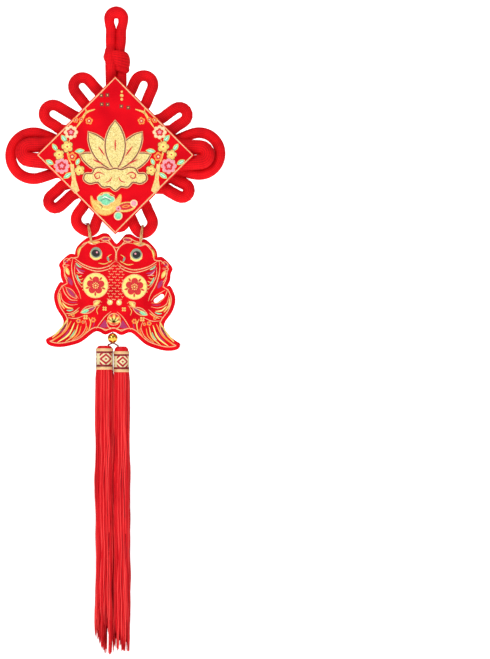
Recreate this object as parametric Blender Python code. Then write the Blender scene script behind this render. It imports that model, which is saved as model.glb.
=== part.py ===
"""Chinese knot tassel: a hanging ornament of thick red cord, two padded boards, a bead and two tassels.

Metres, +Z up, the front faces -Y. The origin is the underside of the hanging loop's crown, where a hook
carries the ornament. Sizes below are written in millimetres and turned to metres when a mesh is made.
"""

import math
import random
from collections import namedtuple

import bmesh
import bpy
from mathutils import Vector

MM = 0.001

# Cord
CORD_RADIUS = 5.0
CORD_SIDES = 10
GAP = 0.3

# Hanging loop: a doubled cord with a narrow eye, an overhand wrap round it and a two-cord neck
LOOP_X = 0.4
LOOP_CORD = 4.3
LOOP_DEPTH = 5.0
CROWN_LIFT = 1.2
EYE_HALF_WIDTH = 2.2
EYE_LENGTH = 11.0
WRAP_Z = -36.7
WRAP_DROP = 2.2
WRAP_REACH = 7.1
WRAP_REACH_DEEP = 7.6
WRAP_CORD = 4.8
WRAP_LEFT_HALF_HEIGHT = 5.6
WRAP_RIGHT_HALF_HEIGHT = 9.0
NECK_HALF_GAP = 4.5
NECK_CORD = 4.8
NECK_END = -61.5

# Plaque: a square padded board that hangs on a corner
PLAQUE_SIDE = 100.0
PLAQUE_THICKNESS = 4.5
PLAQUE_CENTRE_Z = -122.9
PLAQUE_BEVEL = 0.8

# Knot body: a square woven of cord behind the plaque, turned on its corner with it
BODY_SIDE = 72.0
BODY_STRANDS = 8
BODY_DEPTH = 9.0
BODY_VALLEY = 3.2
BODY_EDGE_DEPTH = 5.0
BODY_SCALLOP = 2.2
STEPS_PER_STRAND = 3
ROOT_DEPTH = 7.0
EAR_SWAY = 1.6

# Twin fish board: one half outline, mirrored, turned a little clockwise as it hangs
BOARD_X = -0.7
BOARD_Z = -242.9
BOARD_TURN = 2.0
BOARD_THICKNESS = 5.0
BOARD_RIM = 1.0

# Bead and its thread
BEAD_X = -2.8
BEAD_Z = -285.9
BEAD_RADIUS = 4.6
BEAD_BORE = 1.0
THREAD_RADIUS = 0.65
THREAD_LANDINGS = (-6.7, 1.9)

# Strands of the tassels
CELLS = 9
STRAND_GAP = 0.34
STRAND_JITTER = 0.12
STRAND_RAGGED = 22.0
SEED = 7

# Where all strands bend: how far the tassels have swayed, spread and drawn apart at that height. Below
# the second level a strand runs straight to its own end.
Level = namedtuple("Level", "z sway_x sway_y spread apart")
LEVELS = (
    Level(-320.0, 0.0, 0.0, 1.14, 0.4),
    Level(-430.0, 0.2, 0.7, 1.19, 0.6),
    Level(-570.0, -0.1, -0.6, 1.24, 0.8),
)

COLOURS = {
    # name: (red, green, blue, roughness, metallic)
    "cord_red": (0.76, 0.010, 0.018, 0.75, 0.0),
    "board_red": (0.66, 0.008, 0.020, 0.60, 0.0),
    "gold_thread": (0.72, 0.50, 0.22, 0.40, 0.8),
    "gold_bead": (0.83, 0.56, 0.20, 0.22, 1.0),
    "dark_thread": (0.40, 0.006, 0.014, 0.60, 0.0),
    "tassel_red": (0.70, 0.008, 0.018, 0.55, 0.0),
    "band_gold": (0.74, 0.48, 0.18, 0.45, 0.6),
}

# An ear is one loop of cord that leaves the body's side, runs round a crown and comes back.
# roots are distances along the side, from its top corner on the upper sides and from its bottom
# corner on the lower ones. pull draws the crown out to a soft point at the angle tip.
Ear = namedtuple("Ear", "name side_a root_a side_b root_b crown_x crown_z radius cord layer pull tip")
EARS = (
    Ear("upper_left_high", "upper_left", 8.0, "upper_left", 25.5, -29.8, -61.0, 8.0, 5.0, 0.0, 0.0, 0),
    Ear("upper_left_low", "upper_left", 31.0, "upper_left", 48.5, -56.1, -85.4, 8.0, 5.0, 0.6, 0.0, 0),
    Ear("upper_right_high", "upper_right", 13.0, "upper_right", 31.0, 24.9, -59.6, 8.4, 5.0, 0.0, 0.0, 0),
    Ear("upper_right_low", "upper_right", 37.0, "upper_right", 50.0, 56.9, -86.5, 7.1, 5.0, 0.6, 0.0, 0),
    Ear("left_ring", "upper_left", 55.0, "lower_left", 53.0, -73.6, -122.7, 20.6, 5.0, 2.4, 0.0, 0),
    Ear("left_inner", "upper_left", 50.0, "lower_left", 52.0, -76.7, -120.0, 6.8, 6.4, -0.6, 0.0, 0),
    Ear("right_ring", "upper_right", 55.0, "lower_right", 53.0, 74.3, -120.8, 18.8, 5.0, 2.4, 0.0, 0),
    Ear("right_inner", "upper_right", 51.0, "lower_right", 52.0, 75.5, -122.2, 6.8, 6.4, -0.6, 0.0, 0),
    Ear("lower_left_high", "lower_left", 49.0, "lower_left", 37.0, -54.1, -163.5, 6.2, 5.1, 0.6, 0.0, 0),
    Ear("lower_left_tied", "lower_left", 28.0, "lower_left", 17.0, -26.6, -179.7, 9.0, 5.0, 0.0, 2.6, -65),
    Ear("lower_right_high", "lower_right", 50.0, "lower_right", 39.0, 59.2, -153.8, 6.2, 5.4, 0.6, 0.0, 0),
    Ear("lower_right_tied", "lower_right", 31.0, "lower_right", 14.0, 24.6, -182.6, 8.3, 5.0, 0.0, 1.0, -95),
    Ear("bottom_turn", "lower_left", 14.0, "lower_right", 16.0, 2.6, -180.8, 5.9, 4.9, 0.6, 0.0, 0),
)

# Half of the board's outline from the notch between the two fish down the right side to the middle of
# the bottom edge, seen from the front, from the board's own centre. A sharp point is a corner.
Point = namedtuple("Point", "where x z sharp")
HALF_OUTLINE = (
    Point("notch", 0.0, 41.5, False),
    Point("lip_in", 3.6, 46.0, False),
    Point("lip_top", 10.0, 50.6, False),
    Point("lip_out", 16.2, 48.2, False),
    Point("brow", 20.6, 46.3, False),
    Point("head_top", 27.2, 45.4, False),
    Point("head_side", 35.2, 37.5, False),
    Point("fin_corner", 36.9, 30.6, True),
    Point("fin_top", 42.0, 30.6, False),
    Point("fin_tip", 50.5, 22.0, False),
    Point("fin_dip", 49.3, 16.0, False),
    Point("fin_low", 48.9, 10.4, False),
    Point("vee", 46.4, 4.8, True),
    Point("back", 49.8, 4.8, False),
    Point("flank", 54.3, -6.0, False),
    Point("hip", 51.9, -17.5, False),
    Point("waist", 45.0, -28.9, False),
    Point("tail_in", 48.3, -37.3, False),
    Point("tail_out", 54.6, -42.7, False),
    Point("tail_tip", 60.0, -46.2, False),
    Point("tail_low", 57.4, -51.3, False),
    Point("tail_base", 47.0, -52.8, False),
    Point("tail_fold", 34.0, -49.8, False),
    Point("belly_low", 26.8, -46.2, False),
    Point("belly", 15.8, -37.6, False),
    Point("scallop", 7.2, -40.2, False),
    Point("middle", 0.0, -37.5, False),
)

# Holes through the board, in its own coordinates: a round one for each tie and a slanted slot that
# parts the right fish's fin from its tail.
Hole = namedtuple("Hole", "name x z radius length slant")
BOARD_HOLES = (
    Hole("left_tie_hole", -22.3, 42.0, 1.5, 0.0, 0),
    Hole("right_tie_hole", 21.3, 41.2, 1.5, 0.0, 0),
    Hole("fin_slot", 39.5, -6.2, 2.0, 6.6, 38),
)

# Each tie runs through its hole and round the ear above it, up to a point inside the ear.
Tie = namedtuple("Tie", "name hole top_x top_z")
TIES = (
    Tie("tie_left", BOARD_HOLES[0], -24.6, -183.6),
    Tie("tie_right", BOARD_HOLES[1], 24.0, -185.0),
)

# x is the middle of the head; the band covers the core from band_top to band_bottom.
Tassel = namedtuple("Tassel", "side x core dome_top band_top band_bottom outer_end inner_end")
TASSELS = (
    Tassel("left", -10.1, 6.8, -292.6, -295.0, -314.0, -553.0, -568.6),
    Tassel("right", 5.0, 6.2, -293.4, -297.6, -316.2, -566.0, -565.0),
)
BAND_WALL = 0.55


def clear_scene():
    """Remove whatever the file starts with."""
    for obj in list(bpy.data.objects):
        bpy.data.objects.remove(obj, do_unlink=True)


def material(name):
    """A Principled material from the table of colours."""
    found = bpy.data.materials.get(name)
    if found:
        return found
    red, green, blue, roughness, metallic = COLOURS[name]
    made = bpy.data.materials.new(name)
    made.use_nodes = True
    shader = made.node_tree.nodes["Principled BSDF"]
    shader.inputs["Base Color"].default_value = (red, green, blue, 1.0)
    shader.inputs["Roughness"].default_value = roughness
    shader.inputs["Metallic"].default_value = metallic
    return made


def finish(bm, name, colour):
    """Turn a bmesh in millimetres into a smooth-shaded object in metres, its faces pointing out."""
    bmesh.ops.recalc_face_normals(bm, faces=bm.faces)
    bmesh.ops.scale(bm, vec=(MM, MM, MM), verts=bm.verts)
    mesh = bpy.data.meshes.new(name)
    bm.to_mesh(mesh)
    bm.free()
    mesh.shade_smooth()
    mesh.set_sharp_from_angle(angle=math.radians(40))
    mesh.materials.append(material(colour))
    obj = bpy.data.objects.new(name, mesh)
    bpy.context.scene.collection.objects.link(obj)
    return obj


def helper(obj):
    """Keep a cutter or a piece of a union out of the render."""
    obj.hide_render = True
    obj.display_type = "WIRE"
    return obj


def combine(base, others, operation):
    """Add one Boolean modifier to base for each of the other objects."""
    for other in others:
        modifier = base.modifiers.new(other.name, "BOOLEAN")
        modifier.operation = operation
        modifier.solver = "EXACT"
        modifier.object = helper(other)


def sweep(bm, path, radii, depths, across, sides=CORD_SIDES):
    """Add a closed tube along path. across is the direction in which depths are measured."""
    rings = []
    last = len(path) - 1
    for index, point in enumerate(path):
        along = (path[min(index + 1, last)] - path[max(index - 1, 0)]).normalized()
        side = along.cross(across).normalized()
        front = side.cross(along).normalized()
        ring = []
        for step in range(sides):
            turn = math.tau * (step + 0.5) / sides
            offset = side * (radii[index] * math.cos(turn)) + front * (depths[index] * math.sin(turn))
            ring.append(bm.verts.new(point + offset))
        rings.append(ring)
    for first, second in zip(rings, rings[1:]):
        for step in range(sides):
            after = (step + 1) % sides
            bm.faces.new((first[step], first[after], second[after], second[step]))
    bm.faces.new(rings[0])
    bm.faces.new(rings[-1])


def tube(name, path, radius, colour, across=Vector((0, 1, 0)), sides=CORD_SIDES, depth=None):
    """One cord object of even thickness along path."""
    bm = bmesh.new()
    count = len(path)
    sweep(bm, path, [radius] * count, [depth or radius] * count, across, sides)
    return finish(bm, name, colour)


def ring_of_tube(name, path, radius, colour, across, sides, half_heights=None):
    """One closed loop of cord along a path whose end meets its start.

    half_heights gives the section's half size in the direction of across, where it isn't the radius.
    """
    bm = bmesh.new()
    rings = []
    count = len(path)
    half_heights = half_heights or [radius] * count
    for index, point in enumerate(path):
        along = (path[(index + 1) % count] - path[index - 1]).normalized()
        side = along.cross(across).normalized()
        front = side.cross(along).normalized() * half_heights[index]
        turns = [math.tau * step / sides for step in range(sides)]
        rings.append([bm.verts.new(point + side * (radius * math.cos(t)) + front * math.sin(t)) for t in turns])
    for index in range(count):
        first, second = rings[index], rings[(index + 1) % count]
        for step in range(sides):
            after = (step + 1) % sides
            bm.faces.new((first[step], first[after], second[after], second[step]))
    return finish(bm, name, colour)


def revolve(name, profile, centre, colour, segments, closed):
    """Turn a profile of (radius, height) round the vertical line through centre.

    A closed profile makes a ring. An open one starts and ends on the axis, so its ends become points.
    """
    bm = bmesh.new()
    rings = []
    for radius, height in profile:
        if radius == 0.0:
            rings.append([bm.verts.new(centre + Vector((0, 0, height)))] * segments)
            continue
        turns = [math.tau * step / segments for step in range(segments)]
        rings.append(
            [bm.verts.new(centre + Vector((radius * math.cos(t), radius * math.sin(t), height))) for t in turns]
        )
    pairs = list(zip(rings, rings[1:]))
    if closed:
        pairs.append((rings[-1], rings[0]))
    for first, second in pairs:
        for step in range(segments):
            after = (step + 1) % segments
            corners = [first[step], first[after], second[after], second[step]]
            bm.faces.new(list(dict.fromkeys(corners)))
    return finish(bm, name, colour)


def arc(centre, radius, start, end, count, height=0.0):
    """Points on a circle in the XZ plane from angle start to angle end, both included."""
    points = []
    for index in range(count + 1):
        turn = start + (end - start) * index / count
        points.append(Vector((centre[0] + radius * math.cos(turn), height, centre[1] + radius * math.sin(turn))))
    return points


def make_hanging_loop():
    """The doubled cord with its eye, the overhand wrap and the two-cord neck."""
    half = EYE_HALF_WIDTH + LOOP_CORD
    squeeze = LOOP_CORD - GAP
    closed_z = -EYE_LENGTH - 1.5
    reach_share = math.cos(math.pi / CORD_SIDES)
    crown_z = (LOOP_CORD + CROWN_LIFT) * reach_share - half
    crown_steps = 10
    left_strand = [
        Vector((LOOP_X - NECK_HALF_GAP, 0, NECK_END)),
        Vector((LOOP_X - NECK_HALF_GAP - 0.4, 0, -51.0)),
        Vector((LOOP_X - squeeze - 1.2, 0, -40.0)),
        Vector((LOOP_X - squeeze - 0.3, 0, -30.0)),
        Vector((LOOP_X - squeeze - 1.0, 0, -20.0)),
        Vector((LOOP_X - squeeze - 1.0, 0, closed_z)),
        Vector((LOOP_X - half + 0.2, 0, -7.0)),
    ]
    crown = arc((LOOP_X, crown_z), half, math.pi, 0.0, crown_steps)
    right_top = [Vector((LOOP_X + half - 0.2, 0, -7.0)), Vector((LOOP_X + squeeze + 0.5, 0, closed_z))]
    path = left_strand + crown + right_top
    lifts = [CROWN_LIFT * math.sin(math.pi * index / crown_steps) for index in range(crown_steps + 1)]
    radii = [NECK_CORD] * 2 + [LOOP_CORD + 0.3] * 4 + [LOOP_CORD]
    radii += [LOOP_CORD + lift for lift in lifts]
    radii += [LOOP_CORD] * 2
    bm = bmesh.new()
    sweep(bm, path, radii, [LOOP_DEPTH] * len(path), Vector((0, 1, 0)))
    loop = finish(bm, "hanging_loop", "cord_red")

    right_strand = [
        Vector((LOOP_X + squeeze + 0.5, 0, closed_z + 1.6)),
        Vector((LOOP_X + squeeze - 0.1, 0, -20.0)),
        Vector((LOOP_X + squeeze - 1.4, 0, -30.0)),
        Vector((LOOP_X + squeeze - 0.1, 0, -40.0)),
        Vector((LOOP_X + NECK_HALF_GAP, 0, -52.0)),
        Vector((LOOP_X + NECK_HALF_GAP, 0, NECK_END)),
    ]
    bm = bmesh.new()
    sweep(
        bm,
        right_strand,
        [LOOP_CORD + 0.1] + [LOOP_CORD + 0.3] * 3 + [NECK_CORD] * 2,
        [LOOP_DEPTH + 0.1] * 6,
        Vector((0, 1, 0)),
    )
    right = finish(bm, "right_strand", "cord_red")

    # The wrap is a sloping ring that hugs both strands, fuller and lower at its right.
    steps = 14
    path = []
    half_heights = []
    for index in range(steps):
        turn = math.tau * index / steps
        across = math.cos(turn)
        x = LOOP_X + 0.5 + WRAP_REACH * across
        path.append(Vector((x, WRAP_REACH_DEEP * math.sin(turn), WRAP_Z - WRAP_DROP * across)))
        share = (1 + across) / 2
        half_heights.append(WRAP_LEFT_HALF_HEIGHT + (WRAP_RIGHT_HALF_HEIGHT - WRAP_LEFT_HALF_HEIGHT) * share)
    wrap = ring_of_tube("wrap", path, WRAP_CORD, "cord_red", Vector((0, 0, 1)), CORD_SIDES, half_heights)
    combine(loop, [right, wrap], "UNION")
    return loop


def body_point(along, up, depth):
    """A point of the knot's body from its own axes, which lie along the plaque's sides."""
    diagonal = math.sqrt(0.5)
    return Vector(((along - up) * diagonal, depth, PLAQUE_CENTRE_Z + (along + up) * diagonal))


def side_point(side, distance, inset):
    """A point on a side of the knot's body, inset towards its middle."""
    half = BODY_SIDE / 2
    edge = half - inset
    if side == "upper_left":
        return body_point(half - distance, edge, 0.0)
    if side == "upper_right":
        return body_point(edge, half - distance, 0.0)
    if side == "lower_left":
        return body_point(-edge, distance - half, 0.0)
    return body_point(distance - half, -edge, 0.0)


def tangent_angle(centre, radius, root, outward):
    """Where a straight leg from root meets a crown, on the side that outward points to."""
    offset = root - centre
    base = math.atan2(offset.z, offset.x)
    spread = math.acos(min(radius / math.hypot(offset.x, offset.z), 1.0))
    both = (base - spread, base + spread)
    return max(both, key=lambda turn: math.cos(turn) * outward.x + math.sin(turn) * outward.z)


def ear_path(ear):
    """The middle line of an ear: straight leg, crown, straight leg."""
    centre = Vector((ear.crown_x, 0, ear.crown_z))
    root_a = side_point(ear.side_a, ear.root_a, ROOT_DEPTH)
    root_b = side_point(ear.side_b, ear.root_b, ROOT_DEPTH)
    axis = (centre - (root_a + root_b) / 2).normalized()
    outward = (root_a - root_b) - axis * (root_a - root_b).dot(axis)
    start = tangent_angle(centre, ear.radius, root_a, outward)
    end = tangent_angle(centre, ear.radius, root_b, -outward)
    tip = math.atan2(axis.z, axis.x)
    start = tip + math.remainder(start - tip, math.tau)
    end = tip + math.remainder(end - tip, math.tau)
    steps = max(7, round(abs(end - start) * (ear.radius + 12.0) / 9.0))
    crown = arc((ear.crown_x, ear.crown_z), ear.radius, start, end, steps)
    for point in crown:
        turn = math.atan2(point.z - centre.z, point.x - centre.x)
        share = max(0.0, math.cos(turn - math.radians(ear.tip))) ** 6
        point += (point - centre).normalized() * (ear.pull * share)
    leg_a = [root_a.lerp(crown[0], share) for share in (0.0, 0.5)]
    leg_b = [crown[-1].lerp(root_b, share) for share in (0.5, 1.0)]
    path = leg_a + crown + leg_b
    for index, point in enumerate(path):
        point.y = ear.layer + EAR_SWAY * math.cos(math.pi * index / (len(path) - 1))
    return path


def weave_height(along, up):
    """Height of the woven relief, 0 in a valley and 1 on a crossing, at a place counted in strands."""
    heights = []
    for shift_a in (-1e-6, 1e-6):
        for shift_u in (-1e-6, 1e-6):
            a, u = along + shift_a, up + shift_u
            column, row = math.floor(a), math.floor(u)
            if not (0 <= column < BODY_STRANDS and 0 <= row < BODY_STRANDS):
                continue
            across, run = (u - row, a - column) if (column + row) % 2 == 0 else (a - column, u - row)
            round_part = math.sqrt(max(0.0, 1 - (2 * across - 1) ** 2))
            heights.append(round_part * (0.5 + 0.5 * math.sin(math.pi * run)))
    return max(heights)


def border_push(distance):
    """How far the rounded turn of a strand stands out from the body's side."""
    place = distance * BODY_STRANDS / BODY_SIDE
    return BODY_SCALLOP * math.sin(math.pi * (place - math.floor(place + 1e-9)))


def make_body():
    """The woven square: relief on the back, scalloped sides and a flat front against the plaque."""
    bm = bmesh.new()
    count = BODY_STRANDS * STEPS_PER_STRAND
    step = BODY_SIDE / count
    half = BODY_SIDE / 2
    back = {}
    for column in range(count + 1):
        for row in range(count + 1):
            along, up = column * step - half, row * step - half
            on_border = column in (0, count) or row in (0, count)
            relief = weave_height(column / STEPS_PER_STRAND, row / STEPS_PER_STRAND)
            depth = BODY_EDGE_DEPTH if on_border else BODY_DEPTH - BODY_VALLEY * (1 - relief)
            back[column, row] = bm.verts.new(body_point(along, up, depth))
    for column in range(count):
        for row in range(count):
            corners = ((column, row), (column + 1, row), (column + 1, row + 1), (column, row + 1))
            bm.faces.new([back[corner] for corner in corners])

    border = [(column, 0) for column in range(count)]
    border += [(count, row) for row in range(count)]
    border += [(column, count) for column in range(count, 0, -1)]
    border += [(0, row) for row in range(count, 0, -1)]

    def wall_ring(push_share, inset, depth):
        ring = []
        for column, row in border:
            along, up = column * step - half, row * step - half
            if row in (0, count) and column not in (0, count):
                up += math.copysign(border_push(column * step) * push_share, up)
            if column in (0, count) and row not in (0, count):
                along += math.copysign(border_push(row * step) * push_share, along)
            scale = (half - inset) / half
            ring.append(bm.verts.new(body_point(along * scale, up * scale, depth)))
        return ring

    rings = [[back[place] for place in border]]
    rings.append(wall_ring(1.0, 0.0, BODY_EDGE_DEPTH / 2))
    rings.append(wall_ring(1.0, 0.0, -BODY_EDGE_DEPTH))
    rings.append(wall_ring(0.3, 2.5, -BODY_DEPTH))
    for first, second in zip(rings, rings[1:]):
        for index in range(len(border)):
            after = (index + 1) % len(border)
            bm.faces.new((first[index], first[after], second[after], second[index]))
    bm.faces.new(rings[-1])
    return finish(bm, "knot", "cord_red")


def make_knot():
    """The body with its ears, the turn at its bottom corner and the stubs that meet the neck."""
    body = make_body()
    cords = [tube(ear.name, ear_path(ear), ear.cord, "cord_red") for ear in EARS]
    for sign, name in ((-1, "left_stub"), (1, "right_stub")):
        x = LOOP_X + sign * NECK_HALF_GAP
        path = [Vector((x, 0, NECK_END - GAP)), Vector((x, 0, -76.0)), Vector((x * 0.8, 0, -84.0))]
        cords.append(tube(name, path, NECK_CORD, "cord_red"))
    combine(body, cords, "UNION")
    return body


def make_plaque():
    """The square board in front of the knot, standing on its corner."""
    bm = bmesh.new()
    bmesh.ops.create_cube(bm, size=1.0)
    bmesh.ops.scale(bm, vec=(PLAQUE_SIDE, PLAQUE_THICKNESS, PLAQUE_SIDE), verts=bm.verts)
    bmesh.ops.bevel(bm, geom=bm.edges[:], offset=PLAQUE_BEVEL, segments=2, profile=0.5, affect="EDGES")
    diagonal = math.sqrt(0.5)
    front = -BODY_DEPTH - GAP - PLAQUE_THICKNESS / 2
    for vert in bm.verts:
        x, y, z = vert.co
        vert.co = ((x - z) * diagonal, y + front, (x + z) * diagonal + PLAQUE_CENTRE_Z)
    return finish(bm, "plaque", "board_red")


def on_board(x, z, depth=0.0):
    """A point of the fish board as it hangs, from its own coordinates."""
    turn = math.radians(BOARD_TURN)
    turned_x = x * math.cos(turn) + z * math.sin(turn)
    turned_z = z * math.cos(turn) - x * math.sin(turn)
    return Vector((BOARD_X + turned_x, depth, BOARD_Z + turned_z))


def smooth_outline(points, steps):
    """A closed Catmull-Rom curve through named points. At a sharp point the curve turns a corner."""
    count = len(points)
    curve = []
    for index, here in enumerate(points):
        before, after, beyond = points[index - 1], points[(index + 1) % count], points[(index + 2) % count]
        start = (0.0, 0.0) if here.sharp else ((after.x - before.x) / 2, (after.z - before.z) / 2)
        end = (0.0, 0.0) if after.sharp else ((beyond.x - here.x) / 2, (beyond.z - here.z) / 2)
        for step in range(steps):
            t = step / steps
            weights = (2 * t**3 - 3 * t**2 + 1, t**3 - 2 * t**2 + t, -2 * t**3 + 3 * t**2, t**3 - t**2)
            x = weights[0] * here.x + weights[1] * start[0] + weights[2] * after.x + weights[3] * end[0]
            z = weights[0] * here.z + weights[1] * start[1] + weights[2] * after.z + weights[3] * end[1]
            curve.append((x, z))
    return curve


def fish_outline(steps):
    """The whole outline of the board, in its own coordinates, clockwise from the notch."""
    mirrored = [point._replace(x=-point.x) for point in HALF_OUTLINE[-2:0:-1]]
    return smooth_outline(list(HALF_OUTLINE) + mirrored, steps)


def inset_outline(outline, distance):
    """The outline moved inwards by a small distance along its own normals."""
    count = len(outline)
    moved = []
    for index, (x, z) in enumerate(outline):
        before, after = outline[index - 1], outline[(index + 1) % count]
        dx, dz = after[0] - before[0], after[1] - before[1]
        length = math.hypot(dx, dz)
        moved.append((x + dz / length * distance, z - dx / length * distance))
    return moved


def make_fish_board():
    """The die-cut twin fish board with its softly rounded rim, tie holes and slot."""
    outline = fish_outline(2)
    inner = inset_outline(outline, BOARD_RIM)
    half = BOARD_THICKNESS / 2
    bm = bmesh.new()
    layers = ((inner, -half), (outline, -half + BOARD_RIM), (outline, half - BOARD_RIM), (inner, half))
    rings = [[bm.verts.new(on_board(x, z, depth)) for x, z in points] for points, depth in layers]
    count = len(outline)
    for first, second in zip(rings, rings[1:]):
        for index in range(count):
            after = (index + 1) % count
            bm.faces.new((first[index], first[after], second[after], second[index]))
    bm.faces.new(rings[0])
    bm.faces.new(rings[-1])
    board = finish(bm, "fish_board", "board_red")
    combine(board, [hole_cutter(hole) for hole in BOARD_HOLES], "DIFFERENCE")
    return board


def hole_cutter(hole):
    """A round pin, or a bar with round ends, that runs through both faces of the board."""
    sides = 5
    slant = math.radians(hole.slant)
    reach = hole.length / 2
    rim = []
    for end, start_angle in ((1, -90), (-1, 90)):
        for step in range(sides + 1):
            turn = math.radians(start_angle + 180 * step / sides) + slant
            x = hole.x + end * reach * math.cos(slant) + hole.radius * math.cos(turn)
            z = hole.z + end * reach * math.sin(slant) + hole.radius * math.sin(turn)
            rim.append((x, z))
    if hole.length == 0.0:
        rim = rim[:sides] + rim[sides + 1 : -1]
    bm = bmesh.new()
    front = [bm.verts.new(on_board(x, z, -BOARD_THICKNESS)) for x, z in rim]
    back = [bm.verts.new(on_board(x, z, BOARD_THICKNESS)) for x, z in rim]
    for index in range(len(rim)):
        after = (index + 1) % len(rim)
        bm.faces.new((front[index], front[after], back[after], back[index]))
    bm.faces.new(front)
    bm.faces.new(back)
    return finish(bm, hole.name, "board_red")


def make_tie(tie):
    """A loop of metallic thread round an ear's lowest turn and through the board's hole."""
    steps = 18
    through = on_board(tie.hole.x, tie.hole.z)
    bottom_z = through.z - 0.4
    middle = (tie.top_z + bottom_z) / 2
    reach = (tie.top_z - bottom_z) / 2
    half_width = CORD_RADIUS + GAP + THREAD_RADIUS + 0.5
    path = []
    for index in range(steps):
        turn = math.tau * index / steps
        width = half_width * math.copysign(abs(math.sin(turn)) ** 0.8, math.sin(turn))
        share = (1 - math.cos(turn)) / 2
        x = through.x + (tie.top_x - through.x) * share
        path.append(Vector((x, width, middle - reach * math.cos(turn))))
    return ring_of_tube(tie.name, path, THREAD_RADIUS, "gold_thread", Vector((1, 0, 0)), 6)


def make_bead():
    """The gold bead, bored for its thread."""
    steps = 8
    bore_angle = math.asin(BEAD_BORE / BEAD_RADIUS)
    profile = []
    for index in range(steps + 1):
        turn = bore_angle + (math.pi - 2 * bore_angle) * index / steps
        profile.append((BEAD_RADIUS * math.sin(turn), BEAD_RADIUS * math.cos(turn)))
    return revolve("bead", profile, Vector((BEAD_X, 0, BEAD_Z)), "gold_bead", 16, True)


def make_bead_thread():
    """The thread under the board: through the bead, then one branch to each tassel's head."""
    top = Vector((BEAD_X + 0.2, 0, BEAD_Z + BEAD_RADIUS + 0.5))
    fork = Vector((BEAD_X, 0, BEAD_Z - BEAD_RADIUS - 0.9))
    stem = tube("bead_thread", [top, Vector((BEAD_X, 0, BEAD_Z)), fork], THREAD_RADIUS, "dark_thread", sides=6)
    branches = []
    for tassel, x in zip(TASSELS, THREAD_LANDINGS):
        start = fork + Vector((0, 0, 0.6))
        end = Vector((x, 0, tassel.dome_top + GAP))
        bend = end + Vector((math.copysign(0.3, start.x - x), 0, 0.5))
        name = f"{tassel.side}_branch"
        branches.append(tube(name, [start, bend, end], THREAD_RADIUS - 0.1, "dark_thread", sides=6))
    combine(stem, branches, "UNION")
    return stem


def square_to_disc(u, v):
    """Map a point of the square from -1 to 1 onto the unit disc, evenly."""
    if u == 0.0 and v == 0.0:
        return 0.0, 0.0
    if abs(u) > abs(v):
        radius, turn = u, math.pi / 4 * (v / u)
    else:
        radius, turn = v, math.pi / 2 - math.pi / 4 * (u / v)
    return radius * math.cos(turn), radius * math.sin(turn)


def strand_place(tassel, start, z):
    """Where a root point of the tassel has moved to, sideways and in depth, at height z."""
    if z >= LEVELS[1].z:
        level = LEVELS[0] if z >= LEVELS[0].z else LEVELS[1]
    else:
        share = (LEVELS[1].z - z) / (LEVELS[1].z - LEVELS[2].z)
        level = Level(*(a + (b - a) * share for a, b in zip(LEVELS[1], LEVELS[2])))
    away = math.copysign(level.apart, tassel.x)
    x = tassel.x + away + (start.x - tassel.x) * level.spread + level.sway_x
    return Vector((x, start.y * level.spread + level.sway_y, z))


def strand_end(tassel, middle, ragged):
    """The height of a strand's end: a few are much shorter, most reach the tassel's own edge."""
    inward = (middle.x - tassel.x) / tassel.core * math.copysign(1, -tassel.x)
    share = min(1.0, max(0.0, 0.9 + 1.1 * inward))
    end = tassel.outer_end + (tassel.inner_end - tassel.outer_end) * share
    return end + STRAND_RAGGED * ragged**3


def make_tassel(tassel):
    """A head core with a domed top, and a fringe of four-sided strands under it."""
    random.seed(SEED)
    bm = bmesh.new()
    bottom = tassel.band_bottom
    grid = {}
    for column in range(CELLS + 1):
        for row in range(CELLS + 1):
            x, y = square_to_disc(2 * column / CELLS - 1, 2 * row / CELLS - 1)
            grid[column, row] = bm.verts.new((tassel.x + x * tassel.core, y * tassel.core, bottom))
    border = [grid[column, 0] for column in range(CELLS)]
    border += [grid[CELLS, row] for row in range(CELLS)]
    border += [grid[column, CELLS] for column in range(CELLS, 0, -1)]
    border += [grid[0, row] for row in range(CELLS, 0, -1)]
    dome = tassel.dome_top - tassel.band_top
    rings = [border]
    for share, height in ((1.0, tassel.band_top), (0.9, tassel.band_top + dome * 0.6), (0.64, tassel.dome_top)):
        ring = []
        for vert in border:
            offset = Vector((vert.co.x - tassel.x, vert.co.y, 0)) * share
            ring.append(bm.verts.new((tassel.x + offset.x, offset.y, height)))
        rings.append(ring)
    for first, second in zip(rings, rings[1:]):
        for index in range(len(border)):
            after = (index + 1) % len(border)
            bm.faces.new((first[index], first[after], second[after], second[index]))
    bm.faces.new(rings[-1])

    cells = []
    for column in range(CELLS):
        for row in range(CELLS):
            corners = ((column, row), (column + 1, row), (column + 1, row + 1), (column, row + 1))
            cells.append(bm.faces.new([grid[corner] for corner in corners]))
    bm.normal_update()
    bmesh.ops.inset_individual(bm, faces=cells, thickness=STRAND_GAP / 2)
    for face in cells:
        add_strand(bm, tassel, face)
    return finish(bm, f"tassel_{tassel.side}", "tassel_red")


def add_strand(bm, tassel, face):
    """Draw one strand down from its root face, through the common levels to its own end."""
    roots = [vert.co.copy() for vert in face.verts]
    middle = face.calc_center_median()
    end = strand_end(tassel, middle, random.random())
    jitter = Vector((random.uniform(-1, 1), random.uniform(-1, 1), 0)) * STRAND_JITTER
    stops = ((LEVELS[0].z, Vector()), (LEVELS[1].z, jitter), (end, Vector()))
    for z, push in stops:
        face = bmesh.ops.extrude_discrete_faces(bm, faces=[face])["faces"][0]
        for vert, root in zip(face.verts, roots):
            vert.co = strand_place(tassel, root, z) + push


def make_band(tassel):
    """The woven gold sleeve round a tassel's head."""
    inner = tassel.core + GAP
    outer = inner + BAND_WALL
    profile = (
        (inner, tassel.band_bottom),
        (outer, tassel.band_bottom),
        (outer, tassel.band_top),
        (inner, tassel.band_top),
    )
    return revolve(f"band_{tassel.side}", profile, Vector((tassel.x, 0, 0)), "band_gold", 36, True)


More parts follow.
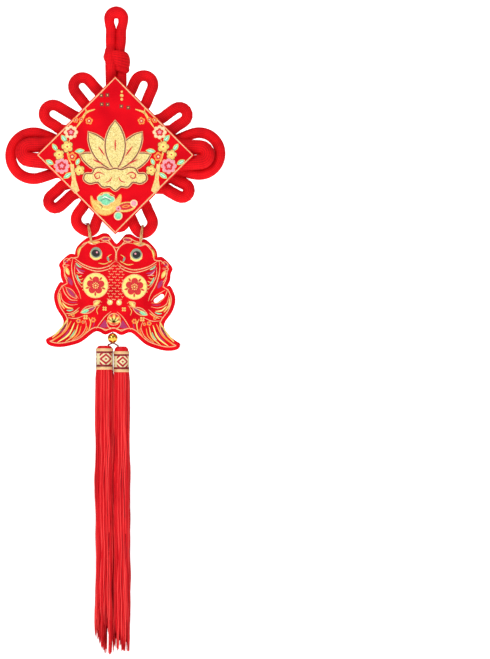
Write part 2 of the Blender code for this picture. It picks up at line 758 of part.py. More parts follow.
def main():
    """Build every piece of the ornament."""
    clear_scene()
    make_hanging_loop()
    make_knot()
    make_plaque()
    make_fish_board()
    for tie in TIES:
        make_tie(tie)
    make_bead()
    make_bead_thread()
    for tassel in TASSELS:
        make_tassel(tassel)
        make_band(tassel)


main()
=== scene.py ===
"""Looks of the chinese knot tassel: satin cord tied in a knot, two flocked boards, a bead and two tassels.

Sizes are in millimetres and are turned to metres where a mesh is made. The front faces -Y, and the origin
is the underside of the hanging loop's crown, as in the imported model.
"""

from __future__ import annotations

import logging
import math
import random
from dataclasses import dataclass, field
from enum import Enum
from typing import Callable, Iterable, Sequence

import bmesh
import bpy
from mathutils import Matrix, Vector
from mathutils.geometry import tessellate_polygon


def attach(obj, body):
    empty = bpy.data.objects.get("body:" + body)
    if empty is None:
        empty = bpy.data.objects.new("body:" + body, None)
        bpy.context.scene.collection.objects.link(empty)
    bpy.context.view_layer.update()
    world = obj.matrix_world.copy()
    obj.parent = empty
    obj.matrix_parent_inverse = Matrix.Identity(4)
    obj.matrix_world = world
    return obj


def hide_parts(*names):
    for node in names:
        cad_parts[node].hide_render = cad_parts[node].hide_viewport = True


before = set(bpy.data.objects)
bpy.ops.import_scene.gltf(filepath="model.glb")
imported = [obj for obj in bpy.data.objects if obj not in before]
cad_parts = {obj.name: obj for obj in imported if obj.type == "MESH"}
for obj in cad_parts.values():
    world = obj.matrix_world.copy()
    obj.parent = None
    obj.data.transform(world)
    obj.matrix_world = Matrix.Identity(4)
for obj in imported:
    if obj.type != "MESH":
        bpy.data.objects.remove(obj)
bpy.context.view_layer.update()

LOG = logging.getLogger("knot_tassel")
MM = 0.001
BODY = "root"
SEED = 11

Point2 = tuple[float, float]
Outline = list[Point2]


def srgb(hex_code: str) -> tuple[float, float, float, float]:
    """Turn an sRGB colour such as "#EE1C25" to linear RGBA.

    Args:
        hex_code: six hex digits with a leading hash sign.

    Returns:
        Linear red, green and blue, and 1 for alpha.
    """
    channels = [int(hex_code[start : start + 2], 16) / 255 for start in (1, 3, 5)]
    linear = [c / 12.92 if c <= 0.04045 else ((c + 0.055) / 1.055) ** 2.4 for c in channels]
    return (linear[0], linear[1], linear[2], 1.0)


def add_node(tree: bpy.types.NodeTree, kind: str, inputs: dict | None = None, **settings: object) -> bpy.types.Node:
    """Add a node, set its properties, and set or link its inputs.

    Args:
        tree: the tree that gets the node.
        kind: the node's type name.
        inputs: a value or an output socket for each input, by name or number.
        settings: properties of the node.

    Returns:
        The new node.
    """
    node = tree.nodes.new(kind)
    for name, value in settings.items():
        setattr(node, name, value)
    for key, value in (inputs or {}).items():
        if isinstance(value, bpy.types.NodeSocket):
            tree.links.new(value, node.inputs[key])
        else:
            node.inputs[key].default_value = value
    return node


@dataclass(frozen=True)
class Finish:
    """A surface finish. Its colour and relief come from dress(), the rest from plain values."""

    name: str
    roughness: float
    metallic: float = 0.0
    sheen: float = 0.0
    sheen_hex: str = "#FFFFFF"
    specular: float = 0.5
    anisotropic: float = 0.0

    def dress(self, tree: bpy.types.NodeTree, shader: bpy.types.Node) -> None:
        """Link the colour and the relief. Each finish has its own."""
        raise NotImplementedError

    def build(self) -> bpy.types.Material:
        """Make the material once, and return the same one after that."""
        made = bpy.data.materials.get(self.name)
        if made:
            return made
        made = bpy.data.materials.new(self.name)
        made.use_nodes = True
        tree = made.node_tree
        shader = tree.nodes["Principled BSDF"]
        shader.inputs["Roughness"].default_value = self.roughness
        shader.inputs["Metallic"].default_value = self.metallic
        shader.inputs["Sheen Weight"].default_value = self.sheen
        shader.inputs["Sheen Tint"].default_value = srgb(self.sheen_hex)
        shader.inputs["Specular IOR Level"].default_value = self.specular
        shader.inputs["Anisotropic"].default_value = self.anisotropic
        self.dress(tree, shader)
        return made


@dataclass(frozen=True)
class KnittedSatinCord(Finish):
    """Polyester satin cord, knitted as a tube: fine ribs run along it, with small stitches across them.

    The eye sees a soft red with faint lengthwise lines. A real rib is about 0.9 mm wide and is drawn
    1.4 mm wide, so that it shows.
    """

    light_hex: str = "#EC0C16"
    deep_hex: str = "#B0000E"
    ribs_around: float = 20.0
    stitch_mm: float = 2.2

    def dress(self, tree: bpy.types.NodeTree, shader: bpy.types.Node) -> None:
        """Ribs and stitches from the cord's own UV map, cloudy dye from Object coordinates, and painted shade that
        darkens the colour in the valleys between ribs and stitches.
        """
        uv = add_node(tree, "ShaderNodeUVMap", uv_map="cord_uv").outputs["UV"]
        split = add_node(tree, "ShaderNodeSeparateXYZ", {0: uv})
        turn = add_node(tree, "ShaderNodeMath", {0: split.outputs["X"], 1: math.tau * self.ribs_around}, operation="MULTIPLY")
        rib = add_node(tree, "ShaderNodeMath", {0: turn.outputs[0]}, operation="COSINE")
        run = add_node(tree, "ShaderNodeMath", {0: split.outputs["Y"], 1: math.tau / self.stitch_mm}, operation="MULTIPLY")
        lean = add_node(tree, "ShaderNodeMath", {0: rib.outputs[0], 1: 1.3, 2: run.outputs[0]}, operation="MULTIPLY_ADD")
        stitch = add_node(tree, "ShaderNodeMath", {0: lean.outputs[0]}, operation="SINE")
        relief = add_node(tree, "ShaderNodeMath", {0: stitch.outputs[0], 1: 0.45, 2: rib.outputs[0]}, operation="MULTIPLY_ADD")
        where = add_node(tree, "ShaderNodeTexCoord").outputs["Object"]
        fuzz = add_node(tree, "ShaderNodeTexNoise", {"Vector": where, "Scale": 900.0, "Detail": 2.0})
        height = add_node(tree, "ShaderNodeMath", {0: fuzz.outputs["Fac"], 1: 1.2, 2: relief.outputs[0]}, operation="MULTIPLY_ADD")
        bump = add_node(tree, "ShaderNodeBump", {"Height": height.outputs[0], "Strength": 0.28, "Distance": 0.00018})
        dye = add_node(tree, "ShaderNodeTexNoise", {"Vector": where, "Scale": 70.0, "Detail": 2.0})
        # The relief darkens the colour in its valleys: painted shade in the clefts, mixed with the dye's random tone.
        shade = add_node(tree, "ShaderNodeMath", {0: relief.outputs[0], 1: 0.16, 2: dye.outputs["Fac"]}, operation="MULTIPLY_ADD")
        fac = add_node(tree, "ShaderNodeMapRange", {0: shade.outputs[0], 1: 0.1, 2: 0.75})
        colour = add_node(
            tree,
            "ShaderNodeMix",
            {"Factor": fac.outputs[0], 6: srgb(self.deep_hex), 7: srgb(self.light_hex)},
            data_type="RGBA",
        )
        tree.links.new(colour.outputs[2], shader.inputs["Base Color"])
        tree.links.new(bump.outputs[0], shader.inputs["Normal"])


@dataclass(frozen=True)
class FlockedBoard(Finish):
    """Foam board under flocked cloth: short upright fibres give a deep, matt red with a fine grain.

    A fibre is about 0.1 mm thick. The grain is drawn 0.7 mm coarse, so that it shows.
    """

    light_hex: str = "#EC0E1C"
    deep_hex: str = "#C00214"
    grain_mm: float = 0.7

    def dress(self, tree: bpy.types.NodeTree, shader: bpy.types.Node) -> None:
        """Grain and slow patches of brushed pile, both from Object coordinates."""
        where = add_node(tree, "ShaderNodeTexCoord").outputs["Object"]
        grain = add_node(tree, "ShaderNodeTexNoise", {"Vector": where, "Scale": 1 / (self.grain_mm * MM), "Detail": 3.0})
        pile = add_node(tree, "ShaderNodeTexNoise", {"Vector": where, "Scale": 55.0, "Detail": 1.0})
        blend = add_node(tree, "ShaderNodeMath", {0: grain.outputs["Fac"], 1: 0.7, 2: pile.outputs["Fac"]}, operation="MULTIPLY_ADD")
        fac = add_node(tree, "ShaderNodeMapRange", {0: blend.outputs[0], 1: 0.45, 2: 1.2})
        colour = add_node(
            tree,
            "ShaderNodeMix",
            {"Factor": fac.outputs[0], 6: srgb(self.deep_hex), 7: srgb(self.light_hex)},
            data_type="RGBA",
        )
        bump = add_node(tree, "ShaderNodeBump", {"Height": grain.outputs["Fac"], "Strength": 0.3, "Distance": 0.0002})
        tree.links.new(colour.outputs[2], shader.inputs["Base Color"])
        tree.links.new(bump.outputs[0], shader.inputs["Normal"])


@dataclass(frozen=True)
class PrintedInk(Finish):
    """Screen-printed pigment on flocking: an even colour, a little broken by the pile under it."""

    light_hex: str = "#FFFFFF"
    deep_hex: str = "#CCCCCC"
    grain_mm: float = 0.8
    relief: float = 0.15

    def dress(self, tree: bpy.types.NodeTree, shader: bpy.types.Node) -> None:
        """Mottled colour and a slight relief from Object coordinates."""
        where = add_node(tree, "ShaderNodeTexCoord").outputs["Object"]
        grain = add_node(tree, "ShaderNodeTexNoise", {"Vector": where, "Scale": 1 / (self.grain_mm * MM), "Detail": 2.0})
        fac = add_node(tree, "ShaderNodeMapRange", {0: grain.outputs["Fac"], 1: 0.3, 2: 0.6})
        colour = add_node(
            tree,
            "ShaderNodeMix",
            {"Factor": fac.outputs[0], 6: srgb(self.deep_hex), 7: srgb(self.light_hex)},
            data_type="RGBA",
        )
        bump = add_node(
            tree, "ShaderNodeBump", {"Height": grain.outputs["Fac"], "Strength": self.relief, "Distance": 0.0002}
        )
        tree.links.new(colour.outputs[2], shader.inputs["Base Color"])
        tree.links.new(bump.outputs[0], shader.inputs["Normal"])


@dataclass(frozen=True)
class GlitterGold(Finish):
    """Gold glitter in clear glue: flakes of about 0.4 mm that lie at all angles, so some flash and some don't."""

    light_hex: str = "#FFF3B4"
    middle_hex: str = "#F2DC8C"
    deep_hex: str = "#C09A46"
    flake_mm: float = 0.55

    def dress(self, tree: bpy.types.NodeTree, shader: bpy.types.Node) -> None:
        """One colour and one tilt for each flake."""
        where = add_node(tree, "ShaderNodeTexCoord").outputs["Object"]
        flakes = add_node(tree, "ShaderNodeTexVoronoi", {"Vector": where, "Scale": 1 / (self.flake_mm * MM)})
        split = add_node(tree, "ShaderNodeSeparateColor", {0: flakes.outputs["Color"]})
        ramp = add_node(tree, "ShaderNodeValToRGB", {"Fac": split.outputs[0]})
        ramp.color_ramp.elements[0].color = srgb(self.deep_hex)
        ramp.color_ramp.elements[1].color = srgb(self.light_hex)
        ramp.color_ramp.elements.new(0.35).color = srgb(self.middle_hex)
        ramp.color_ramp.elements.new(0.75).color = srgb(self.middle_hex)
        bump = add_node(tree, "ShaderNodeBump", {"Height": split.outputs[1], "Strength": 0.35, "Distance": 0.0002})
        tree.links.new(ramp.outputs["Color"], shader.inputs["Base Color"])
        tree.links.new(bump.outputs[0], shader.inputs["Normal"])


@dataclass(frozen=True)
class GoldPlate(Finish):
    """Gold plating on a turned bead: a clear mirror with a few faint handling marks."""

    light_hex: str = "#FFD45E"
    deep_hex: str = "#D99A2B"

    def dress(self, tree: bpy.types.NodeTree, shader: bpy.types.Node) -> None:
        """A slow change of tone, and marks that are fine enough to leave the mirror whole."""
        where = add_node(tree, "ShaderNodeTexCoord").outputs["Object"]
        tone = add_node(tree, "ShaderNodeTexNoise", {"Vector": where, "Scale": 260.0, "Detail": 3.0})
        colour = add_node(
            tree,
            "ShaderNodeMix",
            {"Factor": tone.outputs["Fac"], 6: srgb(self.deep_hex), 7: srgb(self.light_hex)},
            data_type="RGBA",
        )
        bump = add_node(tree, "ShaderNodeBump", {"Height": tone.outputs["Fac"], "Strength": 0.05, "Distance": 0.0001})
        tree.links.new(colour.outputs[2], shader.inputs["Base Color"])
        tree.links.new(bump.outputs[0], shader.inputs["Normal"])


@dataclass(frozen=True)
class TwistedThread(Finish):
    """Thread of twisted filaments: bright and dark slants follow each other along it, painted into the colour as
    highlight on the crests and shade in the grooves.
    """

    light_hex: str = "#F6D294"
    deep_hex: str = "#B87A3C"
    twist_mm: float = 1.3

    def dress(self, tree: bpy.types.NodeTree, shader: bpy.types.Node) -> None:
        """A slanted wave from the thread's own UV map gives the relief, and paints the colour light on its crests and
        dark in its grooves: painted highlight and painted shade.
        """
        uv = add_node(tree, "ShaderNodeUVMap", uv_map="cord_uv").outputs["UV"]
        split = add_node(tree, "ShaderNodeSeparateXYZ", {0: uv})
        turn = add_node(tree, "ShaderNodeMath", {0: split.outputs["X"], 1: 2 * math.tau}, operation="MULTIPLY")
        run = add_node(
            tree,
            "ShaderNodeMath",
            {0: split.outputs["Y"], 1: math.tau / self.twist_mm, 2: turn.outputs[0]},
            operation="MULTIPLY_ADD",
        )
        wave = add_node(tree, "ShaderNodeMath", {0: run.outputs[0]}, operation="SINE")
        # The same wave sets the colour: painted highlight where the twist rises, painted shade where it sinks.
        fac = add_node(tree, "ShaderNodeMapRange", {0: wave.outputs[0], 1: -1.0, 2: 0.8})
        colour = add_node(
            tree,
            "ShaderNodeMix",
            {"Factor": fac.outputs[0], 6: srgb(self.deep_hex), 7: srgb(self.light_hex)},
            data_type="RGBA",
        )
        bump = add_node(tree, "ShaderNodeBump", {"Height": fac.outputs[0], "Strength": 0.5, "Distance": 0.0002})
        tree.links.new(colour.outputs[2], shader.inputs["Base Color"])
        tree.links.new(bump.outputs[0], shader.inputs["Normal"])


@dataclass(frozen=True)
class SilkyRayon(Finish):
    """Rayon tassel thread: smooth, parallel filaments, coloured with painted sheen in long pale streaks and painted
    shade for the clefts.
    """

    painted_shade_hex: str = "#7C000E"
    middle_hex: str = "#DC0818"
    painted_sheen_hex: str = "#FA4442"

    def dress(self, tree: bpy.types.NodeTree, shader: bpy.types.Node) -> None:
        """Each strand has its own shade, stored on the mesh, and a slow change along its length; the ramp paints them
        from dark shade through the thread's red to pale sheen.
        """
        shade = add_node(tree, "ShaderNodeAttribute", attribute_name="shade").outputs["Fac"]
        where = add_node(tree, "ShaderNodeTexCoord").outputs["Object"]
        stretch = add_node(tree, "ShaderNodeMapping", {"Vector": where, "Scale": (1.0, 1.0, 0.06)})
        slow = add_node(tree, "ShaderNodeTexNoise", {"Vector": stretch.outputs[0], "Scale": 420.0, "Detail": 2.0})
        both = add_node(tree, "ShaderNodeMath", {0: slow.outputs["Fac"], 1: 0.7, 2: shade}, operation="MULTIPLY_ADD")
        fac = add_node(tree, "ShaderNodeMapRange", {0: both.outputs[0], 1: 0.2, 2: 1.3})
        # Dark end: painted shade standing for the clefts. Pale end: painted sheen streaks.
        ramp = add_node(tree, "ShaderNodeValToRGB", {"Fac": fac.outputs[0]})
        ramp.color_ramp.elements[0].color = srgb(self.painted_shade_hex)
        ramp.color_ramp.elements[1].color = srgb(self.painted_sheen_hex)
        ramp.color_ramp.elements.new(0.35).color = srgb(self.middle_hex)
        ramp.color_ramp.elements.new(0.72).color = srgb(self.middle_hex)
        tree.links.new(ramp.outputs["Color"], shader.inputs["Base Color"])


@dataclass(frozen=True)
class WovenRibbon(Finish):
    """Jacquard ribbon in gold lurex and red: a gold stripe, a dark red line and a fret panel, top and bottom alike.

    The map runs 0 to 1 down the sleeve and counts the repeats round it. A weft thread is 0.5 mm.
    """

    gold_hex: str = "#F0C48C"
    panel_hex: str = "#F2E4B0"
    line_hex: str = "#8A0A1C"
    weft_mm: float = 0.5
    stripe_end: float = 0.135
    line_end: float = 0.235
    fret_width: float = 1.6
    fret_height: float = 2.4
    fret_cycles: float = 2.0
    figure_half: float = 0.38

    def dress(self, tree: bpy.types.NodeTree, shader: bpy.types.Node) -> None:
        """Bands by distance from the middle, then the lozenge fret, then the grain of the weft."""
        uv = add_node(tree, "ShaderNodeUVMap", uv_map="ribbon_uv").outputs["UV"]
        split = add_node(tree, "ShaderNodeSeparateXYZ", {0: uv})
        from_middle = add_node(tree, "ShaderNodeMath", {0: split.outputs["Y"], 1: 0.5}, operation="SUBTRACT")
        away = add_node(tree, "ShaderNodeMath", {0: from_middle.outputs[0]}, operation="ABSOLUTE").outputs[0]
        in_panel = add_node(tree, "ShaderNodeMath", {0: away, 1: 0.5 - self.line_end}, operation="LESS_THAN").outputs[0]
        in_line = add_node(tree, "ShaderNodeMath", {0: away, 1: 0.5 - self.stripe_end}, operation="LESS_THAN").outputs[0]
        cell = add_node(tree, "ShaderNodeMath", {0: split.outputs["X"]}, operation="FRACT").outputs[0]
        centred = add_node(tree, "ShaderNodeMath", {0: cell, 1: 0.5}, operation="SUBTRACT").outputs[0]
        side = add_node(tree, "ShaderNodeMath", {0: centred}, operation="ABSOLUTE").outputs[0]
        lift = add_node(tree, "ShaderNodeMath", {0: away, 1: self.fret_height}, operation="MULTIPLY").outputs[0]
        spread = add_node(
            tree, "ShaderNodeMath", {0: side, 1: self.fret_width, 2: lift}, operation="MULTIPLY_ADD"
        ).outputs[0]
        rings = add_node(
            tree, "ShaderNodeMath", {0: spread, 1: math.tau * self.fret_cycles}, operation="MULTIPLY"
        ).outputs[0]
        wave = add_node(tree, "ShaderNodeMath", {0: rings}, operation="COSINE").outputs[0]
        crest = add_node(tree, "ShaderNodeMath", {0: wave, 1: -0.15}, operation="GREATER_THAN").outputs[0]
        inside = add_node(tree, "ShaderNodeMath", {0: side, 1: self.figure_half}, operation="LESS_THAN").outputs[0]
        red = add_node(tree, "ShaderNodeMath", {0: crest, 1: inside}, operation="MULTIPLY").outputs[0]
        panel = add_node(
            tree, "ShaderNodeMix", {"Factor": red, 6: srgb(self.panel_hex), 7: srgb("#C0202C")}, data_type="RGBA"
        )
        lined = add_node(
            tree, "ShaderNodeMix", {"Factor": in_line, 6: srgb(self.gold_hex), 7: srgb(self.line_hex)}, data_type="RGBA"
        )
        whole = add_node(
            tree, "ShaderNodeMix", {"Factor": in_panel, 6: lined.outputs[2], 7: panel.outputs[2]}, data_type="RGBA"
        )
        where = add_node(tree, "ShaderNodeTexCoord").outputs["Object"]
        grain = add_node(tree, "ShaderNodeTexNoise", {"Vector": where, "Scale": 1 / (self.weft_mm * MM), "Detail": 2.0})
        dark = add_node(tree, "ShaderNodeMapRange", {0: grain.outputs["Fac"], 1: 0.3, 2: 0.6, 3: 0.72, 4: 1.0})
        worn = add_node(
            tree,
            "ShaderNodeVectorMath",
            {0: whole.outputs[2], 3: dark.outputs[0]},
            operation="SCALE",
        )
        bump = add_node(tree, "ShaderNodeBump", {"Height": grain.outputs["Fac"], "Strength": 0.5, "Distance": 0.0002})
        tree.links.new(worn.outputs[0], shader.inputs["Base Color"])
        tree.links.new(bump.outputs[0], shader.inputs["Normal"])


CORD = KnittedSatinCord("knitted_satin_cord", 0.75, sheen=0.06, sheen_hex="#FF3030", specular=0.12)
FLOCK = FlockedBoard("flocked_foam_board", 0.9, sheen=0.06, sheen_hex="#FF3030", specular=0.06)
BORDER_INK = PrintedInk("copper_gold_ink", 0.45, metallic=0.25, light_hex="#F6C492", deep_hex="#D9945C")
GOLD_INK = PrintedInk("yellow_gold_ink", 0.45, metallic=0.2, light_hex="#F3CF72", deep_hex="#D9A247")
PALE_INK = PrintedInk("pale_gold_ink", 0.5, light_hex="#F6E786", deep_hex="#E6CF62")
CREAM_INK = PrintedInk("cream_ink", 0.6, light_hex="#F4DDB0", deep_hex="#E2BC88")
TRUNK_INK = PrintedInk("straw_gold_ink", 0.55, light_hex="#F0D488", deep_hex="#D8AE60")
PINK_INK = PrintedInk("rose_ink", 0.6, light_hex="#EEA4B0", deep_hex="#D87E90")
MINT_INK = PrintedInk("mint_ink", 0.6, light_hex="#8CE0B0", deep_hex="#5CC492")
MAGENTA_INK = PrintedInk("magenta_ink", 0.6, light_hex="#B81C62", deep_hex="#941050")
RED_INK = PrintedInk("vermilion_ink", 0.6, light_hex="#DC1620", deep_hex="#B80C18")
BROWN_INK = PrintedInk("brown_ink", 0.6, light_hex="#7A2A1A", deep_hex="#5E1C12")
BLACK_INK = PrintedInk("black_ink", 0.4, light_hex="#1A1414", deep_hex="#0C0A0A")
IRIS_INK = PrintedInk("grey_green_ink", 0.5, light_hex="#93A08A", deep_hex="#75836E")
WHITE_INK = PrintedInk("white_ink", 0.4, light_hex="#FFFFFF", deep_hex="#F4F0E8")
GLITTER = GlitterGold("gold_glitter", 0.42, metallic=0.35)
PLATE = GoldPlate("gold_plating", 0.14, metallic=1.0)
GOLD_THREAD = TwistedThread("gold_lurex_thread", 0.38, metallic=0.55)
DARK_THREAD = TwistedThread("dark_red_thread", 0.6, light_hex="#A01022", deep_hex="#5A0410", twist_mm=1.1)
SILK = SilkyRayon("silky_rayon", 0.45, sheen=0.04, sheen_hex="#FF5050", specular=0.22)
RIBBON = WovenRibbon("jacquard_ribbon", 0.5, metallic=0.3)


def link_object(name: str, mesh: bpy.types.Mesh) -> bpy.types.Object:
    """Put a finished mesh into the scene as an object at the origin."""
    made = bpy.data.objects.new(name, mesh)
    bpy.context.scene.collection.objects.link(made)
    return made


def settle(name: str, bm: bmesh.types.BMesh, finishes: Sequence[Finish], crease: float = 40.0) -> bpy.types.Object:
    """Turn a bmesh in millimetres into a smooth-shaded object in metres.

    Args:
        name: the piece's name.
        bm: the mesh, which is freed.
        finishes: the finishes that the faces' material numbers point to.
        crease: the angle in degrees past which an edge stays sharp.

    Returns:
        The new object.
    """
    bmesh.ops.recalc_face_normals(bm, faces=bm.faces)
    bmesh.ops.scale(bm, vec=(MM, MM, MM), verts=bm.verts)
    mesh = bpy.data.meshes.new(name)
    bm.to_mesh(mesh)
    bm.free()
    mesh.shade_smooth()
    mesh.set_sharp_from_angle(angle=math.radians(crease))
    for finish in finishes:
        mesh.materials.append(finish.build())
    return link_object(name, mesh)


def grow(name: str, source: bpy.types.Object, tree: bpy.types.NodeTree, inputs: dict[str, object]) -> bpy.types.Object:
    """Run a Geometry Nodes tree on an object and keep the result as a plain mesh.

    Args:
        name: the piece's name.
        source: the object that carries the guide geometry. It is removed.
        tree: the tree.
        inputs: a value for each named input of the tree.

    Returns:
        The new object.
    """
    modifier = source.modifiers.new(tree.name, "NODES")
    modifier.node_group = tree
    for item in tree.interface.items_tree:
        if item.in_out == "INPUT" and item.name in inputs:
            modifier[item.identifier] = inputs[item.name]
    graph = bpy.context.evaluated_depsgraph_get()
    mesh = bpy.data.meshes.new_from_object(source.evaluated_get(graph), depsgraph=graph)
    mesh.name = name
    source.modifiers.remove(modifier)
    bpy.data.objects.remove(source, do_unlink=True)
    return link_object(name, mesh)


def dress_piece(piece: bpy.types.Object, slot: str, *nodes: str) -> bpy.types.Object:
    """Let a piece ride on the body, and hide the nodes that it stands for."""
    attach(piece, BODY)
    if nodes:
        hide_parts(*nodes)
    LOG.info("%s: %d faces", piece.name, len(piece.data.polygons))
    return piece


@dataclass
class Route:
    """The middle line of one cord in millimetres, with the cord's radius at each point."""

    points: list[Vector] = field(default_factory=list)
    radii: list[float] = field(default_factory=list)
    closed: bool = False

    def add(self, points: Iterable[Sequence[float]], radius: float | Sequence[float]) -> "Route":
        """Add points, all with one radius or each with its own."""
        added = [Vector(point) for point in points]
        self.points += added
        self.radii += list(radius) if isinstance(radius, (list, tuple)) else [radius] * len(added)
        return self

    def smooth(self, step: float) -> "Route":
        """Draw a cubic curve through the points, and cut it into short even steps.

        Args:
            step: the length of one step.

        Returns:
            A new route on the curve.
        """
        count = len(self.points)
        spans = count if self.closed else count - 1
        curve = Route(closed=self.closed)

        def near(index: int) -> int:
            return index % count if self.closed else min(max(index, 0), count - 1)

        for index in range(spans):
            a, b, c, d = (self.points[near(index + shift)] for shift in (-1, 0, 1, 2))
            length = max((c - b).length, 1e-6)
            before = max((b - a).length, 1e-6)
            after = max((d - c).length, 1e-6)
            start = (c - a) * (length / (before + length)) if (b - a).length > 1e-6 else c - b
            end = (d - b) * (length / (length + after)) if (d - c).length > 1e-6 else c - b
            pieces = max(1, round(length / step))
            first, last = self.radii[near(index)], self.radii[near(index + 1)]
            for cut in range(pieces):
                t = cut / pieces
                weights = (2 * t**3 - 3 * t**2 + 1, t**3 - 2 * t**2 + t, -2 * t**3 + 3 * t**2, t**3 - t**2)
                place = b * weights[0] + start * weights[1] + c * weights[2] + end * weights[3]
                curve.add([place], first + (last - first) * (3 * t * t - 2 * t**3))
        if not self.closed:
            curve.add([self.points[-1]], self.radii[-1])
        return curve


def cord_tree() -> bpy.types.NodeTree:
    """Make the tree that lays a round cord along guide lines.

    Returns:
        A tree with the inputs Sides and Finish. It reads the radius from the attribute thick, and writes the
        UV map cord_uv: turns round the cord, and millimetres along it.
    """
    made = bpy.data.node_groups.get("cord_along_route")
    if made:
        return made
    tree = bpy.data.node_groups.new("cord_along_route", "GeometryNodeTree")
    tree.interface.new_socket("Geometry", in_out="INPUT", socket_type="NodeSocketGeometry")
    tree.interface.new_socket("Sides", in_out="INPUT", socket_type="NodeSocketInt")
    tree.interface.new_socket("Finish", in_out="INPUT", socket_type="NodeSocketMaterial")
    tree.interface.new_socket("Geometry", in_out="OUTPUT", socket_type="NodeSocketGeometry")
    given = add_node(tree, "NodeGroupInput").outputs
    guide = add_node(tree, "GeometryNodeMeshToCurve", {0: given["Geometry"]}).outputs[0]
    thick = add_node(tree, "GeometryNodeInputNamedAttribute", {"Name": "thick"}, data_type="FLOAT").outputs[0]
    rounded = add_node(tree, "GeometryNodeSetCurveRadius", {"Curve": guide, "Radius": thick}).outputs[0]
    length = add_node(tree, "GeometryNodeSplineParameter").outputs["Length"]
    along = add_node(
        tree, "GeometryNodeStoreNamedAttribute", {"Geometry": rounded, "Name": "along", "Value": length}, data_type="FLOAT"
    ).outputs[0]
    section = add_node(tree, "GeometryNodeCurvePrimitiveCircle", {"Resolution": given["Sides"], "Radius": 1.0}).outputs[0]
    turn = add_node(tree, "GeometryNodeSplineParameter").outputs["Factor"]
    around = add_node(
        tree, "GeometryNodeStoreNamedAttribute", {"Geometry": section, "Name": "around", "Value": turn}, data_type="FLOAT"
    ).outputs[0]
    cord = add_node(tree, "GeometryNodeCurveToMesh", {"Curve": along, "Profile Curve": around, "Fill Caps": True})
    if "Scale" in cord.inputs:
        radius = add_node(tree, "GeometryNodeInputRadius").outputs[0]
        tree.links.new(radius, cord.inputs["Scale"])
    u = add_node(tree, "GeometryNodeInputNamedAttribute", {"Name": "around"}, data_type="FLOAT").outputs[0]
    v = add_node(tree, "GeometryNodeInputNamedAttribute", {"Name": "along"}, data_type="FLOAT").outputs[0]
    face_mean = add_node(tree, "GeometryNodeFieldOnDomain", {0: u}, domain="FACE", data_type="FLOAT").outputs[0]
    at_start = add_node(tree, "ShaderNodeMath", {0: u, 1: 0.01}, operation="LESS_THAN").outputs[0]
    at_seam = add_node(tree, "ShaderNodeMath", {0: face_mean, 1: 0.25}, operation="GREATER_THAN").outputs[0]
    lift = add_node(tree, "ShaderNodeMath", {0: at_start, 1: at_seam}, operation="MULTIPLY").outputs[0]
    full_turn = add_node(tree, "ShaderNodeMath", {0: u, 1: lift}, operation="ADD").outputs[0]
    run = add_node(tree, "ShaderNodeMath", {0: v, 1: 1 / MM}, operation="MULTIPLY").outputs[0]
    both = add_node(tree, "ShaderNodeCombineXYZ", {0: full_turn, 1: run}).outputs[0]
    mapped = add_node(
        tree,
        "GeometryNodeStoreNamedAttribute",
        {"Geometry": cord.outputs[0], "Name": "cord_uv", "Value": both},
        data_type="FLOAT2",
        domain="CORNER",
    ).outputs[0]
    soft = add_node(tree, "GeometryNodeSetShadeSmooth", {0: mapped}).outputs[0]
    whole = add_node(tree, "GeometryNodeRealizeInstances", {0: soft}).outputs[0]
    dressed = add_node(tree, "GeometryNodeSetMaterial", {"Geometry": whole, "Material": given["Finish"]}).outputs[0]
    add_node(tree, "NodeGroupOutput", {0: dressed})
    return tree


def lay_cords(name: str, routes: Sequence[Route], finish: Finish, sides: int, step: float) -> bpy.types.Object:
    """Lay one round cord along each route.

    Args:
        name: the piece's name.
        routes: the middle lines, in millimetres.
        finish: what the cord is made of.
        sides: how many sides its section has.
        step: how far apart its sections are, in millimetres.

    Returns:
        The cords as one mesh object.
    """
    places: list[Vector] = []
    edges: list[tuple[int, int]] = []
    thick: list[float] = []
    for route in routes:
        curve = route.smooth(step)
        start = len(places)
        count = len(curve.points)
        places += [point * MM for point in curve.points]
        thick += [radius * MM for radius in curve.radii]
        edges += [(start + index, start + index + 1) for index in range(count - 1)]
        if curve.closed:
            edges.append((start + count - 1, start))
    mesh = bpy.data.meshes.new(f"{name}_guide")
    mesh.from_pydata(places, edges, [])
    mesh.attributes.new("thick", "FLOAT", "POINT").data.foreach_set("value", thick)
    guide = link_object(f"{name}_guide", mesh)
    return grow(name, guide, cord_tree(), {"Sides": sides, "Finish": finish.build()})


